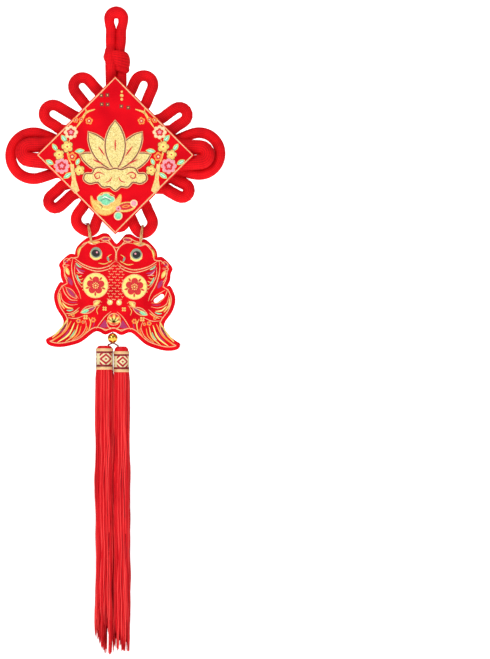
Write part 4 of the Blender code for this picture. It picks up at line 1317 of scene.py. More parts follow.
@dataclass
class FishBoard:
    """The die-cut twin fish: flocked foam, gold contours, eyes, round medallions, fins, tails and a lotus."""

    x: float = -0.7
    z: float = -242.9
    turn: float = 2.0
    thickness: float = 5.0
    rim: float = 1.1
    contour_inset: float = 3.3
    contour_width: float = 0.75
    left_hole: BoardHole = BoardHole(-22.3, 42.0, 1.5)
    right_hole: BoardHole = BoardHole(21.3, 41.2, 1.5)
    slot: BoardHole = BoardHole(39.5, -6.2, 2.0, 6.6, 38.0)

    def place(self, u: float, v: float, height: float) -> Vector:
        """A point at a height above the front, as the board hangs."""
        turn = math.radians(self.turn)
        x = u * math.cos(turn) + v * math.sin(turn)
        z = v * math.cos(turn) - u * math.sin(turn)
        return Vector((self.x + x, -self.thickness / 2 - height, self.z + z))

    def outline(self, steps: int) -> Outline:
        """The whole edge, clockwise from the notch. The curve turns a corner at a sharp point."""
        points = list(FISH_HALF) + [(-u, v, sharp) for u, v, sharp in FISH_HALF[-2:0:-1]]
        count = len(points)
        curve = []
        for index, (u, v, sharp) in enumerate(points):
            before, after, beyond = points[index - 1], points[(index + 1) % count], points[(index + 2) % count]
            start = (0.0, 0.0) if sharp else ((after[0] - before[0]) / 2, (after[1] - before[1]) / 2)
            end = (0.0, 0.0) if after[2] else ((beyond[0] - u) / 2, (beyond[1] - v) / 2)
            for step in range(steps):
                t = step / steps
                w = (2 * t**3 - 3 * t**2 + 1, t**3 - 2 * t**2 + t, -2 * t**3 + 3 * t**2, t**3 - t**2)
                curve.append(
                    (
                        w[0] * u + w[1] * start[0] + w[2] * after[0] + w[3] * end[0],
                        w[0] * v + w[1] * start[1] + w[2] * after[1] + w[3] * end[1],
                    )
                )
        return curve

    def pad(self) -> bpy.types.Object:
        """The board itself: a round rim, both faces flat, with its two tie holes and its slot."""
        edge = self.outline(4)
        holes = [hole.rim()[::-1] for hole in (self.left_hole, self.right_hole, self.slot)]
        normals = normals_of(edge, True)
        insets = []
        for (u, v), (nu, nv) in zip(edge, normals):
            inset = self.rim
            while inset > 0.2:
                place = (u + nu * inset, v + nv * inset)
                if min(math.hypot(place[0] - a, place[1] - b) for a, b in edge) > inset * 0.9:
                    break
                inset -= 0.15
            insets.append(inset)
        bm = bmesh.new()
        rings = []
        profile = ((1.0, 0.0), (0.35, 0.12), (0.0, 0.55), (0.0, 0.8))
        rows = [(share, depth) for share, depth in profile] + [
            (share, self.thickness / self.rim - depth) for share, depth in profile[::-1]
        ]
        for share, depth in rows:
            ring = []
            for (u, v), (nu, nv), inset in zip(edge, normals, insets):
                ring.append(bm.verts.new(self.place(u + nu * inset * share, v + nv * inset * share, -depth * self.rim)))
            rings.append(ring)
        count = len(edge)
        for first, second in zip(rings, rings[1:]):
            for index in range(count):
                after = (index + 1) % count
                bm.faces.new((first[index], first[after], second[after], second[index]))
        inner = [(u + nu * inset, v + nv * inset) for (u, v), (nu, nv), inset in zip(edge, normals, insets)]
        walls = []
        for hole in holes:
            front = [bm.verts.new(self.place(u, v, 0.0)) for u, v in hole]
            back = [bm.verts.new(self.place(u, v, -self.thickness)) for u, v in hole]
            for index in range(len(hole)):
                after = (index + 1) % len(hole)
                bm.faces.new((front[index], front[after], back[after], back[index]))
            walls.append((front, back))
        triangles = tessellate_polygon([[Vector((u, v, 0)) for u, v in ring] for ring in [inner] + holes])
        for ring, number in ((rings[0], 0), (rings[-1], 1)):
            flat = ring + [vert for wall in walls for vert in wall[number]]
            for corners in triangles:
                bm.faces.new([flat[corner] for corner in corners])
        return settle("fish_board_pad", bm, [FLOCK], 50.0)

    def head(self, sheet: InkSheet) -> None:
        """Face contours, gill arcs, eye, brow, top fin and whisker of each fish."""
        for line, width in (
            ([(38.1, 27.8), (28.8, 21.7), (16.8, 18.6), (6.9, 20.9), (1.5, 25.2)], 0.95),
            ([(36.5, 24.5), (27.8, 19.2), (16.6, 16.2), (6.6, 18.4), (1.4, 22.6)], 0.85),
            ([(0.9, 24.8), (0.5, 29.0), (0.6, 34.4), (4.2, 39.9), (9.8, 42.6), (15.6, 41.6)], 0.85),
            ([(15.6, 41.6), (21.0, 40.0), (27.0, 41.6), (32.6, 36.6), (34.4, 30.4)], 0.7),
        ):
            sheet.mirrored(stroke(line, width), BORDER_INK, 1)
        sheet.mirrored(stroke([(15.0, 42.6), (20.0, 41.8), (25.5, 42.2)], 2.0), GOLD_INK, 1)
        sheet.mirrored(stroke([(31.0, 38.6), (33.4, 34.0), (34.0, 29.6)], 2.6), ORANGE_INK, 1)
        sheet.mirrored(stroke([(31.6, 37.4), (33.2, 33.6), (33.4, 30.6)], 1.0), PALE_INK, 2)
        sheet.mirrored(disc(9.7, 45.2, 4.2, 0.48, -0.1), BORDER_INK, 1)
        sheet.mirrored(disc(9.7, 45.2, 3.5, 0.36, -0.1), RED_INK, 2)
        sheet.mirrored(leaf(9.5, 45.2, 4.4, 1.5, -6), MAGENTA_INK, 3)
        sheet.mirrored(disc(18.0, 31.5, 5.6), BORDER_INK, 1)
        sheet.mirrored(disc(18.0, 31.5, 5.1), PALE_INK, 2)
        sheet.mirrored(disc(18.0, 32.8, 4.9), IRIS_INK, 3)
        sheet.mirrored(disc(18.2, 32.2, 3.7, 0.86, 0.3), BLACK_INK, 4)
        sheet.mirrored(disc(17.2, 33.0, 0.9, count=10), PINK_INK, 5)
        sheet.mirrored(stroke([(12.6, 28.4), (17.8, 26.9), (23.4, 29.0)], 1.0), PALE_INK, 3)
        sheet.mirrored(stroke([(4.0, 31.6), (6.8, 30.0), (7.6, 27.0), (5.4, 24.9), (3.6, 26.4)], 0.7), PALE_INK, 1)
        sheet.mirrored(leaf(7.2, 27.6, 4.8, 2.0, 70), IRIS_INK, 2)
        sheet.mirrored(stroke([(6.0, 24.6), (10.4, 22.9), (15.6, 23.6)], 0.95), GOLD_INK, 1)

    def fins(self, sheet: InkSheet) -> None:
        """The outer side fin of each fish, with its lenses, loops and short rays."""
        for line, width in (
            ([(38.6, 27.0), (39.4, 20.0), (38.2, 12.0), (35.6, 4.0), (31.9, -3.0), (30.2, -9.0)], 0.8),
            ([(36.4, 21.6), (36.6, 14.0), (33.0, 6.0), (29.4, 1.0)], 0.6),
            ([(40.6, 24.6), (43.4, 26.8), (46.6, 24.4), (45.4, 21.0), (42.0, 21.2)], 0.6),
            ([(41.4, 20.6), (45.8, 18.4), (45.0, 12.4), (41.4, 7.0)], 0.65),
        ):
            sheet.mirrored(stroke(line, width), BORDER_INK, 1)
        sheet.mirrored(leaf(43.0, 15.4, 8.2, 3.4, 66), GOLD_INK, 1)
        sheet.mirrored(leaf(43.2, 15.0, 5.4, 1.7, 66), PALE_INK, 2)
        sheet.mirrored(leaf(40.2, 6.4, 8.8, 3.6, 62), MAGENTA_INK, 1)
        sheet.mirrored(leaf(44.4, 23.8, 3.6, 1.5, 30), MAGENTA_INK, 1)
        sheet.mirrored(stroke([(36.2, 20.6), (32.6, 16.9), (27.4, 15.6)], 1.5), MAGENTA_INK, 1)
        sheet.mirrored(stroke([(35.8, 22.8), (33.4, 20.4), (30.6, 19.0)], 1.3), MINT_INK, 1)
        for index in range(6):
            u, v = 34.8 - 1.1 * index, 14.4 - 3.0 * index
            sheet.mirrored(stroke([(u, v), (u - 2.0, v - 0.4), (u - 3.8, v + 0.8)], 0.75), GOLD_INK, 1)

    def medallion(self, sheet: InkSheet) -> None:
        """A pale gold disc on each body with a red plum blossom."""
        u, v, radius = 17.4, 3.4, 10.9
        sheet.mirrored(disc(u, v, radius + 0.5, count=40), BORDER_INK, 1)
        sheet.mirrored(disc(u, v, radius - 0.2, count=40), PALE_INK, 2)
        for index in range(5):
            a = math.radians(90 + 72 * index)
            reach = 5.0
            sheet.mirrored(disc(u + reach * math.cos(a), v + reach * math.sin(a), 3.1, count=16), RED_INK, 3)
            b = a + math.radians(36)
            sheet.mirrored(leaf(u + 7.6 * math.cos(b), v + 7.6 * math.sin(b), 4.0, 1.7, math.degrees(b)), RED_INK, 3)
            sheet.mirrored(disc(u + 2.6 * math.cos(a), v + 2.6 * math.sin(a), 0.45, count=8), PALE_INK, 4)
        sheet.mirrored(disc(u, v, 1.9, count=14), RED_INK, 4)
        sheet.mirrored(disc(u, v, 0.8, count=10), PALE_INK, 5)

    def tail(self, sheet: InkSheet) -> None:
        """The blade and the tail of each fish: gold lines, bright streaks and small blossoms."""
        for line, width in (
            ([(47.2, 2.0), (44.6, -4.4), (39.2, -9.9), (33.0, -10.4)], 0.8),
            ([(45.0, 1.6), (40.6, -1.2), (35.4, -4.8), (32.4, -8.8)], 0.7),
            ([(48.6, -2.6), (46.4, -11.0), (39.6, -14.6), (32.6, -14.0)], 0.65),
            ([(31.0, -16.6), (37.0, -21.6), (43.6, -22.8)], 0.75),
            ([(27.0, -24.0), (34.0, -26.6), (41.4, -26.2)], 0.65),
            ([(26.2, -26.0), (24.6, -33.0), (28.4, -41.0), (37.0, -46.4)], 0.65),
        ):
            sheet.mirrored(stroke(line, width), BORDER_INK, 1)
        for line, width, ink in (
            ([(49.4, -4.6), (48.6, -12.4), (44.4, -18.4)], 1.7, GOLD_INK),
            ([(46.6, -12.8), (42.6, -16.8), (37.0, -17.8)], 1.3, PALE_INK),
            ([(41.0, -27.0), (45.6, -35.0), (54.4, -44.6)], 2.2, GOLD_INK),
            ([(38.0, -29.0), (43.4, -38.4), (54.0, -47.4)], 1.6, ORANGE_INK),
            ([(35.0, -30.4), (39.8, -41.0), (49.6, -48.6)], 1.5, PALE_INK),
            ([(31.6, -31.6), (34.8, -41.0), (42.6, -47.8)], 1.4, GOLD_INK),
            ([(29.0, -33.0), (31.0, -40.0), (36.6, -45.6)], 1.1, ORANGE_INK),
            ([(42.6, -31.4), (45.4, -36.6), (48.6, -40.4)], 1.5, MAGENTA_INK),
            ([(39.4, -36.6), (42.4, -41.4), (46.4, -45.0)], 1.2, MAGENTA_INK),
            ([(34.4, -36.6), (36.2, -40.6), (38.8, -43.6)], 1.0, MINT_INK),
            ([(36.4, -18.8), (39.6, -19.8), (42.6, -19.6)], 1.3, MINT_INK),
            ([(33.4, -12.0), (37.6, -12.4), (41.6, -11.6)], 0.9, MAGENTA_INK),
            ([(34.6, 12.6), (33.0, 8.6), (30.8, 5.4)], 1.3, MINT_INK),
            ([(35.0, 18.4), (31.8, 14.6), (28.6, 13.8)], 1.0, PINK_INK),
            ([(31.6, -19.6), (36.2, -22.6), (41.0, -24.2)], 1.0, GOLD_INK),
            ([(22.6, -25.2), (20.6, -30.0), (22.4, -37.6)], 1.0, GOLD_INK),
            ([(25.0, -31.6), (23.6, -36.0), (27.4, -42.0)], 1.0, ORANGE_INK),
            ([(18.4, -25.8), (17.4, -29.4), (18.8, -34.6)], 0.8, MAGENTA_INK),
        ):
            sheet.mirrored(stroke(line, width), ink, 2)
        # The left fish has a printed lens where the right one has its hole.
        for length, width, ink, layer in ((14.4, 5.4, BORDER_INK, 1), (13.0, 4.2, RED_INK, 2), (9.4, 2.4, MAGENTA_INK, 3)):
            sheet.shape(leaf(-38.9, -4.0, length, width, -45), ink, layer)
        for u, v, radius in ((31.6, -28.8, 2.2), (36.6, -24.0, 1.6), (27.4, -29.6, 1.6)):
            sheet.mirrored(blossom(u, v, radius, 5, 0.3), ORANGE_INK, 3)
            sheet.mirrored(disc(u, v, radius * 0.4, count=8), MAGENTA_INK, 4)

    def belly(self, sheet: InkSheet) -> None:
        """Ribbons, pearls and the lotus between the two tails."""
        sheet.mirrored(leaf(23.2, -18.4, 15.4, 6.6, -24), BORDER_INK, 1)
        sheet.mirrored(leaf(23.2, -18.4, 13.6, 5.2, -24), RED_INK, 2)
        sheet.mirrored(leaf(25.6, -19.6, 8.4, 3.4, -24), MINT_INK, 3)
        sheet.mirrored(leaf(20.4, -17.2, 6.8, 3.0, -24), MAGENTA_INK, 4)
        sheet.mirrored(stroke([(17.6, -15.4), (23.4, -17.6), (29.4, -21.0)], 0.6), PALE_INK, 5)
        sheet.mirrored(stroke([(11.2, -11.6), (14.4, -9.9), (18.6, -11.2), (16.4, -14.6), (12.2, -13.8)], 0.75), BORDER_INK, 1)
        sheet.mirrored(stroke([(13.4, -14.6), (15.6, -18.6), (14.4, -22.4)], 0.7), GOLD_INK, 1)
        sheet.mirrored(leaf(15.8, -12.2, 8.0, 3.8, -40), GOLD_INK, 2)
        sheet.mirrored(leaf(15.8, -12.2, 4.6, 1.6, -40), PALE_INK, 3)
        for u, v, radius in ((8.6, -17.0, 2.2), (25.4, -25.2, 2.4)):
            sheet.mirrored(blossom(u, v, radius, 4, 0.55, 0.785), GOLD_INK, 3)
            sheet.mirrored(disc(u, v, radius * 0.3, count=8), RED_INK, 4)
        sheet.mirrored(blossom(18.4, -27.4, 2.4, 6, 0.3), ORANGE_INK, 3)
        sheet.mirrored(disc(18.4, -27.4, 1.0, count=10), RED_INK, 4)
        sheet.mirrored(disc(4.1, -11.2, 2.5, count=16), BORDER_INK, 1)
        sheet.mirrored(disc(4.0, -11.0, 1.9, count=14), PALE_INK, 2)
        sheet.mirrored(disc(3.6, -10.5, 0.6, count=8), WHITE_INK, 3)
        sheet.mirrored(stroke([(2.6, -19.4), (7.4, -23.4), (11.6, -29.0), (15.4, -35.0)], 0.75), BORDER_INK, 1)
        sheet.mirrored(stroke([(0.0, -34.6), (4.2, -33.4), (6.2, -30.0), (5.0, -26.4)], 0.75), BORDER_INK, 1)
        sheet.mirrored(stroke([(2.0, -35.0), (7.4, -35.4), (12.6, -33.6)], 0.65), BORDER_INK, 1)
        sheet.mirrored([(7.9, -26.6), (12.6, -33.0), (8.6, -34.2), (5.2, -33.2)][::-1], MAGENTA_INK, 1)
        sheet.shape(disc(0.0, -26.2, 5.9, 0.95), BORDER_INK, 1)
        sheet.shape(disc(0.0, -26.2, 5.2, 0.95), RED_INK, 2)
        for degrees, length in ((90, 9.0), (52, 8.0), (128, 8.0), (18, 7.0), (162, 7.0)):
            a = math.radians(degrees)
            u, v = length / 2 * math.cos(a), -29.4 + length / 2 * math.sin(a)
            sheet.shape(leaf(u, v, length, 3.4, degrees), ORANGE_INK, 3)
            sheet.shape(leaf(u * 1.08, v + 0.1, length * 0.62, 1.5, degrees), PALE_INK, 4)

    def scale_tree(self) -> bpy.types.NodeTree:
        """Make the tree that prints rows of small fish scales between the two bodies.

        Returns:
            A tree with the inputs Columns, Rows, Pitch and Finish. Its input mesh is one scale.
        """
        tree = bpy.data.node_groups.new("fish_scale_rows", "GeometryNodeTree")
        sockets = (("Geometry", "Geometry"), ("Columns", "Int"), ("Rows", "Int"), ("Pitch", "Float"), ("Finish", "Material"))
        for name, kind in sockets:
            tree.interface.new_socket(name, in_out="INPUT", socket_type=f"NodeSocket{kind}")
        tree.interface.new_socket("Geometry", in_out="OUTPUT", socket_type="NodeSocketGeometry")
        given = add_node(tree, "NodeGroupInput").outputs
        wide = add_node(tree, "ShaderNodeMath", {0: given["Columns"], 1: given["Pitch"]}, operation="MULTIPLY").outputs[0]
        tall = add_node(tree, "ShaderNodeMath", {0: given["Rows"], 1: given["Pitch"]}, operation="MULTIPLY").outputs[0]
        grid = add_node(
            tree,
            "GeometryNodeMeshGrid",
            {"Size X": wide, "Size Y": tall, "Vertices X": given["Columns"], "Vertices Y": given["Rows"]},
        )
        points = add_node(tree, "GeometryNodeMeshToPoints", {0: grid.outputs[0]}).outputs[0]
        number = add_node(tree, "GeometryNodeInputIndex").outputs[0]
        odd = add_node(tree, "ShaderNodeMath", {0: number, 1: 2.0}, operation="MODULO").outputs[0]
        shift = add_node(tree, "ShaderNodeMath", {0: odd, 1: given["Pitch"]}, operation="MULTIPLY").outputs[0]
        half = add_node(tree, "ShaderNodeMath", {0: shift, 1: 0.5}, operation="MULTIPLY").outputs[0]
        push = add_node(tree, "ShaderNodeCombineXYZ", {0: half}).outputs[0]
        staggered = add_node(tree, "GeometryNodeSetPosition", {"Geometry": points, "Offset": push}).outputs[0]
        copies = add_node(tree, "GeometryNodeInstanceOnPoints", {"Points": staggered, "Instance": given["Geometry"]})
        whole = add_node(tree, "GeometryNodeRealizeInstances", {0: copies.outputs[0]}).outputs[0]
        dressed = add_node(tree, "GeometryNodeSetMaterial", {"Geometry": whole, "Material": given["Finish"]}).outputs[0]
        add_node(tree, "NodeGroupOutput", {0: dressed})
        return tree

    def scales(self) -> None:
        """Small raised crescents in gold, in staggered rows on the bodies beside the middle line."""
        bm = bmesh.new()
        crescent = stroke([(-1.0, 0.4), (0.0, -0.7), (1.0, 0.4)], 0.5)
        front = [bm.verts.new((u, v, 0.12)) for u, v in crescent]
        back = [bm.verts.new((u, v, -0.2)) for u, v in crescent]
        for a, b, c in tessellate_polygon([[Vector((u, v, 0)) for u, v in crescent]]):
            bm.faces.new((front[a], front[b], front[c]))
            bm.faces.new((back[c], back[b], back[a]))
        for index in range(len(crescent)):
            after = (index + 1) % len(crescent)
            bm.faces.new((front[index], front[after], back[after], back[index]))
        one = settle("fish_scale_guide", bm, [])
        inputs = {"Columns": 5, "Rows": 13, "Pitch": 2.3 * MM, "Finish": BORDER_INK.build()}
        piece = grow("fish_scales", one, self.scale_tree(), inputs)
        for vert in piece.data.vertices:
            u, v, height = vert.co / MM
            vert.co = self.place(u, v + 6.8, height) * MM
        piece.data.update()
        dress_piece(piece, "board_red")

    def build(self) -> None:
        """Make the board, its prints and its scales."""
        pad = self.pad()
        dress_piece(pad, "board_red", "fish_board")
        sheet = InkSheet(self.place)
        contour = moved_in(self.outline(6), self.contour_inset)
        sheet.band(contour, self.contour_width, BORDER_INK)
        self.head(sheet)
        self.fins(sheet)
        self.medallion(sheet)
        self.tail(sheet)
        self.belly(sheet)
        sheet.build("fish_board_print", "board_red")
        self.scales()


@dataclass
class Ties:
    """The two lurex threads that hang the fish board on the lowest ears."""

    thread: float = 0.5
    half_width: float = 6.45
    drop: float = 0.4
    tops: tuple[Point2, Point2] = ((-24.6, -183.6), (24.0, -185.0))

    def loop(self, top: Point2, hole: Vector) -> list[Route]:
        """Two strands of thread that run side by side round the ear and through the hole."""
        bottom = hole.z - self.drop
        middle, reach = (top[1] + bottom) / 2, (top[1] - bottom) / 2
        strands = []
        for side in (-0.55, 0.55):
            route = Route(closed=True)
            for index in range(16):
                turn = math.tau * index / 16
                share = (1 - math.cos(turn)) / 2
                width = self.half_width * math.copysign(abs(math.sin(turn)) ** 0.8, math.sin(turn))
                sway = side * (1 + 0.3 * math.sin(3 * turn))
                x = hole.x + (top[0] - hole.x) * share + sway
                route.add([(x, width, middle - reach * math.cos(turn))], self.thread)
            strands.append(route)
        return strands

    def knot(self, place: Vector, size: float, ends: Sequence[Vector]) -> list[Route]:
        """A small overhand knot in the thread with its cut ends."""
        turns = Route()
        for index in range(22):
            a = math.tau * index / 7
            turns.add([place + Vector((size * math.cos(a), size * 0.7 * math.sin(a), 0.13 * index - 1.4))], self.thread)
        tails = []
        for end in ends:
            middle = place + end * 0.5 + Vector((0.3, -0.3, 0.2))
            tails.append(Route().add([place, middle, place + end], [self.thread, self.thread, self.thread * 0.5]))
        return [turns] + tails

    def build(self) -> None:
        """Make both ties and their knots."""
        board = FishBoard()
        holes = [board.place(hole.x, hole.z, -board.thickness / 2) for hole in (board.left_hole, board.right_hole)]
        for name, top, hole in zip(("tie_left", "tie_right"), self.tops, holes):
            routes = self.loop(top, hole)
            front = Vector((hole.x + (top[0] - hole.x) * 0.45, -self.half_width - 0.5, (top[1] + hole.z) / 2 - 1.5))
            routes += self.knot(front, 1.0, (Vector((-1.6, -0.6, -2.6)), Vector((1.2, -0.6, -3.2))))
            dress_piece(lay_cords(f"{name}_thread", routes, GOLD_THREAD, 8, 0.5), "gold_thread", name)
        dark = self.knot(Vector((-25.0, -3.4, -184.6)), 0.9, (Vector((-3.0, -0.4, 0.9)), Vector((3.4, -0.4, -2.4))))
        dress_piece(lay_cords("tie_end_knot", dark, DARK_THREAD, 8, 0.5), "gold_thread")


@dataclass
class Bead:
    """The gold bead under the board and the dark thread through it."""

    x: float = -2.8
    z: float = -285.9
    radius: float = 4.6
    bore: float = 1.0
    lip: float = 0.35
    thread: float = 0.62
    landings: tuple[Point2, Point2] = ((-6.7, -292.3), (1.9, -293.1))

    def ball(self) -> bpy.types.Object:
        """The bead, turned with a small lip at each end of its bore."""
        profile = []
        start = math.asin((self.bore + self.lip) / self.radius)
        steps = 28
        for index in range(steps + 1):
            turn = start + (math.pi - 2 * start) * index / steps
            profile.append((self.radius * math.sin(turn), self.radius * math.cos(turn)))
        top = profile[0][1]
        profile = [(self.bore, top - 0.4), (self.bore + 0.1, top + 0.12)] + profile
        profile += [(self.bore + 0.1, -top - 0.12), (self.bore, -top + 0.4)]
        bm = bmesh.new()
        sides = 48
        rings = []
        for radius, height in profile:
            turns = [math.tau * side / sides for side in range(sides)]
            rings.append(
                [bm.verts.new((self.x + radius * math.cos(t), radius * math.sin(t), self.z + height)) for t in turns]
            )
        for index, first in enumerate(rings):
            second = rings[(index + 1) % len(rings)]
            for side in range(sides):
                after = (side + 1) % sides
                bm.faces.new((first[side], first[after], second[after], second[side]))
        return settle("bead_ball", bm, [PLATE], 50.0)

    def build(self) -> None:
        """Make the bead and its thread, which opens into a small diamond above the tassels."""
        dress_piece(self.ball(), "gold_bead", "bead")
        fork = self.z - self.radius - 0.4
        stem = Route().add([(self.x + 0.2, 0, self.z + self.radius + 0.6), (self.x, 0, self.z)], self.thread)
        stem.add([(self.x, 0, fork)], self.thread)
        routes = [stem]
        for side, (x, z) in zip((-1, 1), self.landings):
            bow = (self.x + side * 3.6, -0.4, fork - 1.1)
            routes.append(Route().add([(self.x, 0, fork + 0.5), (self.x + side * 2.0, -0.3, fork - 0.1), bow], self.thread))
            routes[-1].add([(x, 0, z + 0.8), (x, 0, z - 0.4)], self.thread)
        dress_piece(lay_cords("bead_thread_twist", routes, DARK_THREAD, 8, 0.5), "dark_thread", "bead_thread")


@dataclass
class Tassel:
    """A wound head under a woven ribbon, with a long fringe of rayon strands."""

    side: str
    x: float
    core: float
    dome_top: float
    band_top: float
    band_bottom: float
    outer_end: float
    inner_end: float
    seed: int
    strands: int = 290
    steps: int = 44
    strand_radius: float = 0.62
    spread: float = 1.28
    ribbon_wall: float = 0.83
    repeats: int = 3
    figure_turn: float = 0.15
    ragged: float = 34.0

    def fringe_tree(self) -> bpy.types.NodeTree:
        """Make the tree that hangs the strands of a tassel under its root points.

        Each strand starts on a disc, fans out a little, waves with its neighbours and on its own, and ends
        at the fringe's edge, which slopes from the outer to the inner side.

        Returns:
            A tree with the inputs Strands, Steps, Core, Radius, Spread, Wave, Outer Drop, Inner Drop, Ragged,
            Inward, Seed and Finish.
        """
        made = bpy.data.node_groups.get("rayon_fringe")
        if made:
            return made
        tree = bpy.data.node_groups.new("rayon_fringe", "GeometryNodeTree")
        names = (
            ("Geometry", "Geometry"),
            ("Strands", "Int"),
            ("Steps", "Int"),
            ("Core", "Float"),
            ("Radius", "Float"),
            ("Spread", "Float"),
            ("Wave", "Float"),
            ("Outer Drop", "Float"),
            ("Inner Drop", "Float"),
            ("Ragged", "Float"),
            ("Inward", "Float"),
            ("Seed", "Int"),
            ("Finish", "Material"),
        )
        for name, kind in names:
            tree.interface.new_socket(name, in_out="INPUT", socket_type=f"NodeSocket{kind}")
        tree.interface.new_socket("Geometry", in_out="OUTPUT", socket_type="NodeSocketGeometry")
        given = add_node(tree, "NodeGroupInput").outputs

        def math_of(operation: str, first: object, second: object = 0.0, third: object = 0.0) -> bpy.types.NodeSocket:
            return add_node(tree, "ShaderNodeMath", {0: first, 1: second, 2: third}, operation=operation).outputs[0]

        # Root points on a disc, in the order of a sunflower's seeds.
        number = add_node(tree, "GeometryNodeInputIndex").outputs[0]
        share = math_of("DIVIDE", math_of("ADD", number, 0.5), given["Strands"])
        reach = math_of("MULTIPLY", math_of("SQRT", share), given["Core"])
        turn = math_of("MULTIPLY", number, 2.399963)
        root_x = math_of("MULTIPLY", reach, math_of("COSINE", turn))
        root_y = math_of("MULTIPLY", reach, math_of("SINE", turn))
        root = add_node(tree, "ShaderNodeCombineXYZ", {0: root_x, 1: root_y}).outputs[0]
        points = add_node(tree, "GeometryNodePoints", {"Count": given["Strands"], "Position": root}).outputs[0]

        # How far each strand falls.
        inward = math_of("DIVIDE", math_of("MULTIPLY", root_x, given["Inward"]), given["Core"])
        edge = add_node(tree, "ShaderNodeClamp", {0: math_of("MULTIPLY_ADD", inward, 1.1, 0.9)}).outputs[0]
        drop = add_node(
            tree, "ShaderNodeMapRange", {0: edge, 3: given["Outer Drop"], 4: given["Inner Drop"]}
        ).outputs[0]
        chance = add_node(
            tree, "FunctionNodeRandomValue", {"ID": number, "Seed": given["Seed"]}, data_type="FLOAT"
        ).outputs[1]
        lock_x = math_of("MULTIPLY_ADD", root_x, 330.0, math_of("MULTIPLY", given["Seed"], 7.3))
        cell = add_node(tree, "ShaderNodeCombineXYZ", {0: lock_x, 1: math_of("MULTIPLY", root_y, 45.0)}).outputs[0]
        clump = add_node(tree, "ShaderNodeTexNoise", {"Vector": cell, "Scale": 1.0, "Detail": 1.0}).outputs["Fac"]
        bite = add_node(tree, "ShaderNodeMapRange", {0: clump, 1: 0.48, 2: 0.66}).outputs[0]
        uneven = math_of("MULTIPLY_ADD", math_of("POWER", chance, 2.5), 0.35, bite)
        short = math_of("MULTIPLY", uneven, given["Ragged"])
        fall = math_of("SUBTRACT", drop, short)
        with_fall = add_node(
            tree, "GeometryNodeStoreNamedAttribute", {"Geometry": points, "Name": "fall", "Value": fall}, data_type="FLOAT"
        ).outputs[0]
        with_root = add_node(
            tree,
            "GeometryNodeStoreNamedAttribute",
            {"Geometry": with_fall, "Name": "root", "Value": root},
            data_type="FLOAT_VECTOR",
        ).outputs[0]
        # A random value for each strand, which the silk finish paints from dark shade through the thread's red to pale
        # sheen.
        strand_shade_and_sheen = add_node(
            tree, "FunctionNodeRandomValue", {"ID": number, "Seed": 5}, data_type="FLOAT"
        ).outputs[1]
        with_shade_and_sheen = add_node(
            tree, "GeometryNodeStoreNamedAttribute", {"Geometry": with_root, "Name": "shade", "Value": strand_shade_and_sheen}, data_type="FLOAT"
        ).outputs[0]

        # One straight line for each strand, then its fan and its waves.
        line = add_node(tree, "GeometryNodeCurvePrimitiveLine", {"Start": (0, 0, 0), "End": (0, 0, -1)}).outputs[0]
        cut = add_node(tree, "GeometryNodeResampleCurve", {"Curve": line, "Count": given["Steps"]}).outputs[0]
        hung = add_node(tree, "GeometryNodeInstanceOnPoints", {"Points": with_shade_and_sheen, "Instance": cut}).outputs[0]
        strands = add_node(tree, "GeometryNodeRealizeInstances", {0: hung}).outputs[0]
        fall_of = add_node(tree, "GeometryNodeInputNamedAttribute", {"Name": "fall"}, data_type="FLOAT").outputs[0]
        root_of = add_node(tree, "GeometryNodeInputNamedAttribute", {"Name": "root"}, data_type="FLOAT_VECTOR").outputs[0]
        shade_of = add_node(tree, "GeometryNodeInputNamedAttribute", {"Name": "shade"}, data_type="FLOAT").outputs[0]
        along = add_node(tree, "GeometryNodeSplineParameter").outputs["Factor"]
        depth = math_of("MULTIPLY", math_of("MULTIPLY", along, fall_of), -1.0)
        widen = add_node(
            tree, "ShaderNodeMapRange", {0: along, 1: 0.0, 2: 0.04, 3: 1.0, 4: 1.2}, interpolation_type="SMOOTHSTEP"
        ).outputs[0]
        rest = math_of("MULTIPLY", along, math_of("SUBTRACT", given["Spread"], 1.2))
        scale = math_of("ADD", widen, rest)
        fanned = add_node(tree, "ShaderNodeVectorMath", {0: root_of, 3: scale}, operation="SCALE").outputs[0]
        root_parts = add_node(tree, "ShaderNodeSeparateXYZ", {0: root_of}).outputs
        grow_wave = add_node(tree, "ShaderNodeMapRange", {0: along, 1: 0.0, 2: 0.25, 3: 0.0, 4: 1.0}).outputs[0]
        lock_at = add_node(
            tree,
            "ShaderNodeCombineXYZ",
            {0: math_of("MULTIPLY", root_parts[0], 260.0), 1: math_of("MULTIPLY", root_parts[1], 260.0), 2: math_of("MULTIPLY", depth, 20.0)},
        ).outputs[0]
        lock = add_node(tree, "ShaderNodeTexNoise", {"Vector": lock_at, "Scale": 1.0, "Detail": 1.0}).outputs["Color"]
        own_at = add_node(
            tree, "ShaderNodeCombineXYZ", {0: math_of("MULTIPLY", shade_of, 90.0), 2: math_of("MULTIPLY", depth, 34.0)}
        ).outputs[0]
        own = add_node(tree, "ShaderNodeTexNoise", {"Vector": own_at, "Scale": 1.0, "Detail": 1.0}).outputs["Color"]
        lock_push = add_node(tree, "ShaderNodeVectorMath", {0: lock, 1: (0.5, 0.5, 0.5)}, operation="SUBTRACT").outputs[0]
        own_push = add_node(tree, "ShaderNodeVectorMath", {0: own, 1: (0.5, 0.5, 0.5)}, operation="SUBTRACT").outputs[0]
        own_small = add_node(tree, "ShaderNodeVectorMath", {0: own_push, 3: 0.6}, operation="SCALE").outputs[0]
        push = add_node(tree, "ShaderNodeVectorMath", {0: lock_push, 1: own_small}, operation="ADD").outputs[0]
        amount = math_of("MULTIPLY", grow_wave, given["Wave"])
        waved = add_node(tree, "ShaderNodeVectorMath", {0: push, 3: amount}, operation="SCALE").outputs[0]
        flat = add_node(tree, "ShaderNodeVectorMath", {0: waved, 1: (1.0, 1.0, 0.0)}, operation="MULTIPLY").outputs[0]
        swayed = add_node(tree, "ShaderNodeVectorMath", {0: fanned, 1: flat}, operation="ADD").outputs[0]
        lowered = add_node(tree, "ShaderNodeCombineXYZ", {2: depth}).outputs[0]
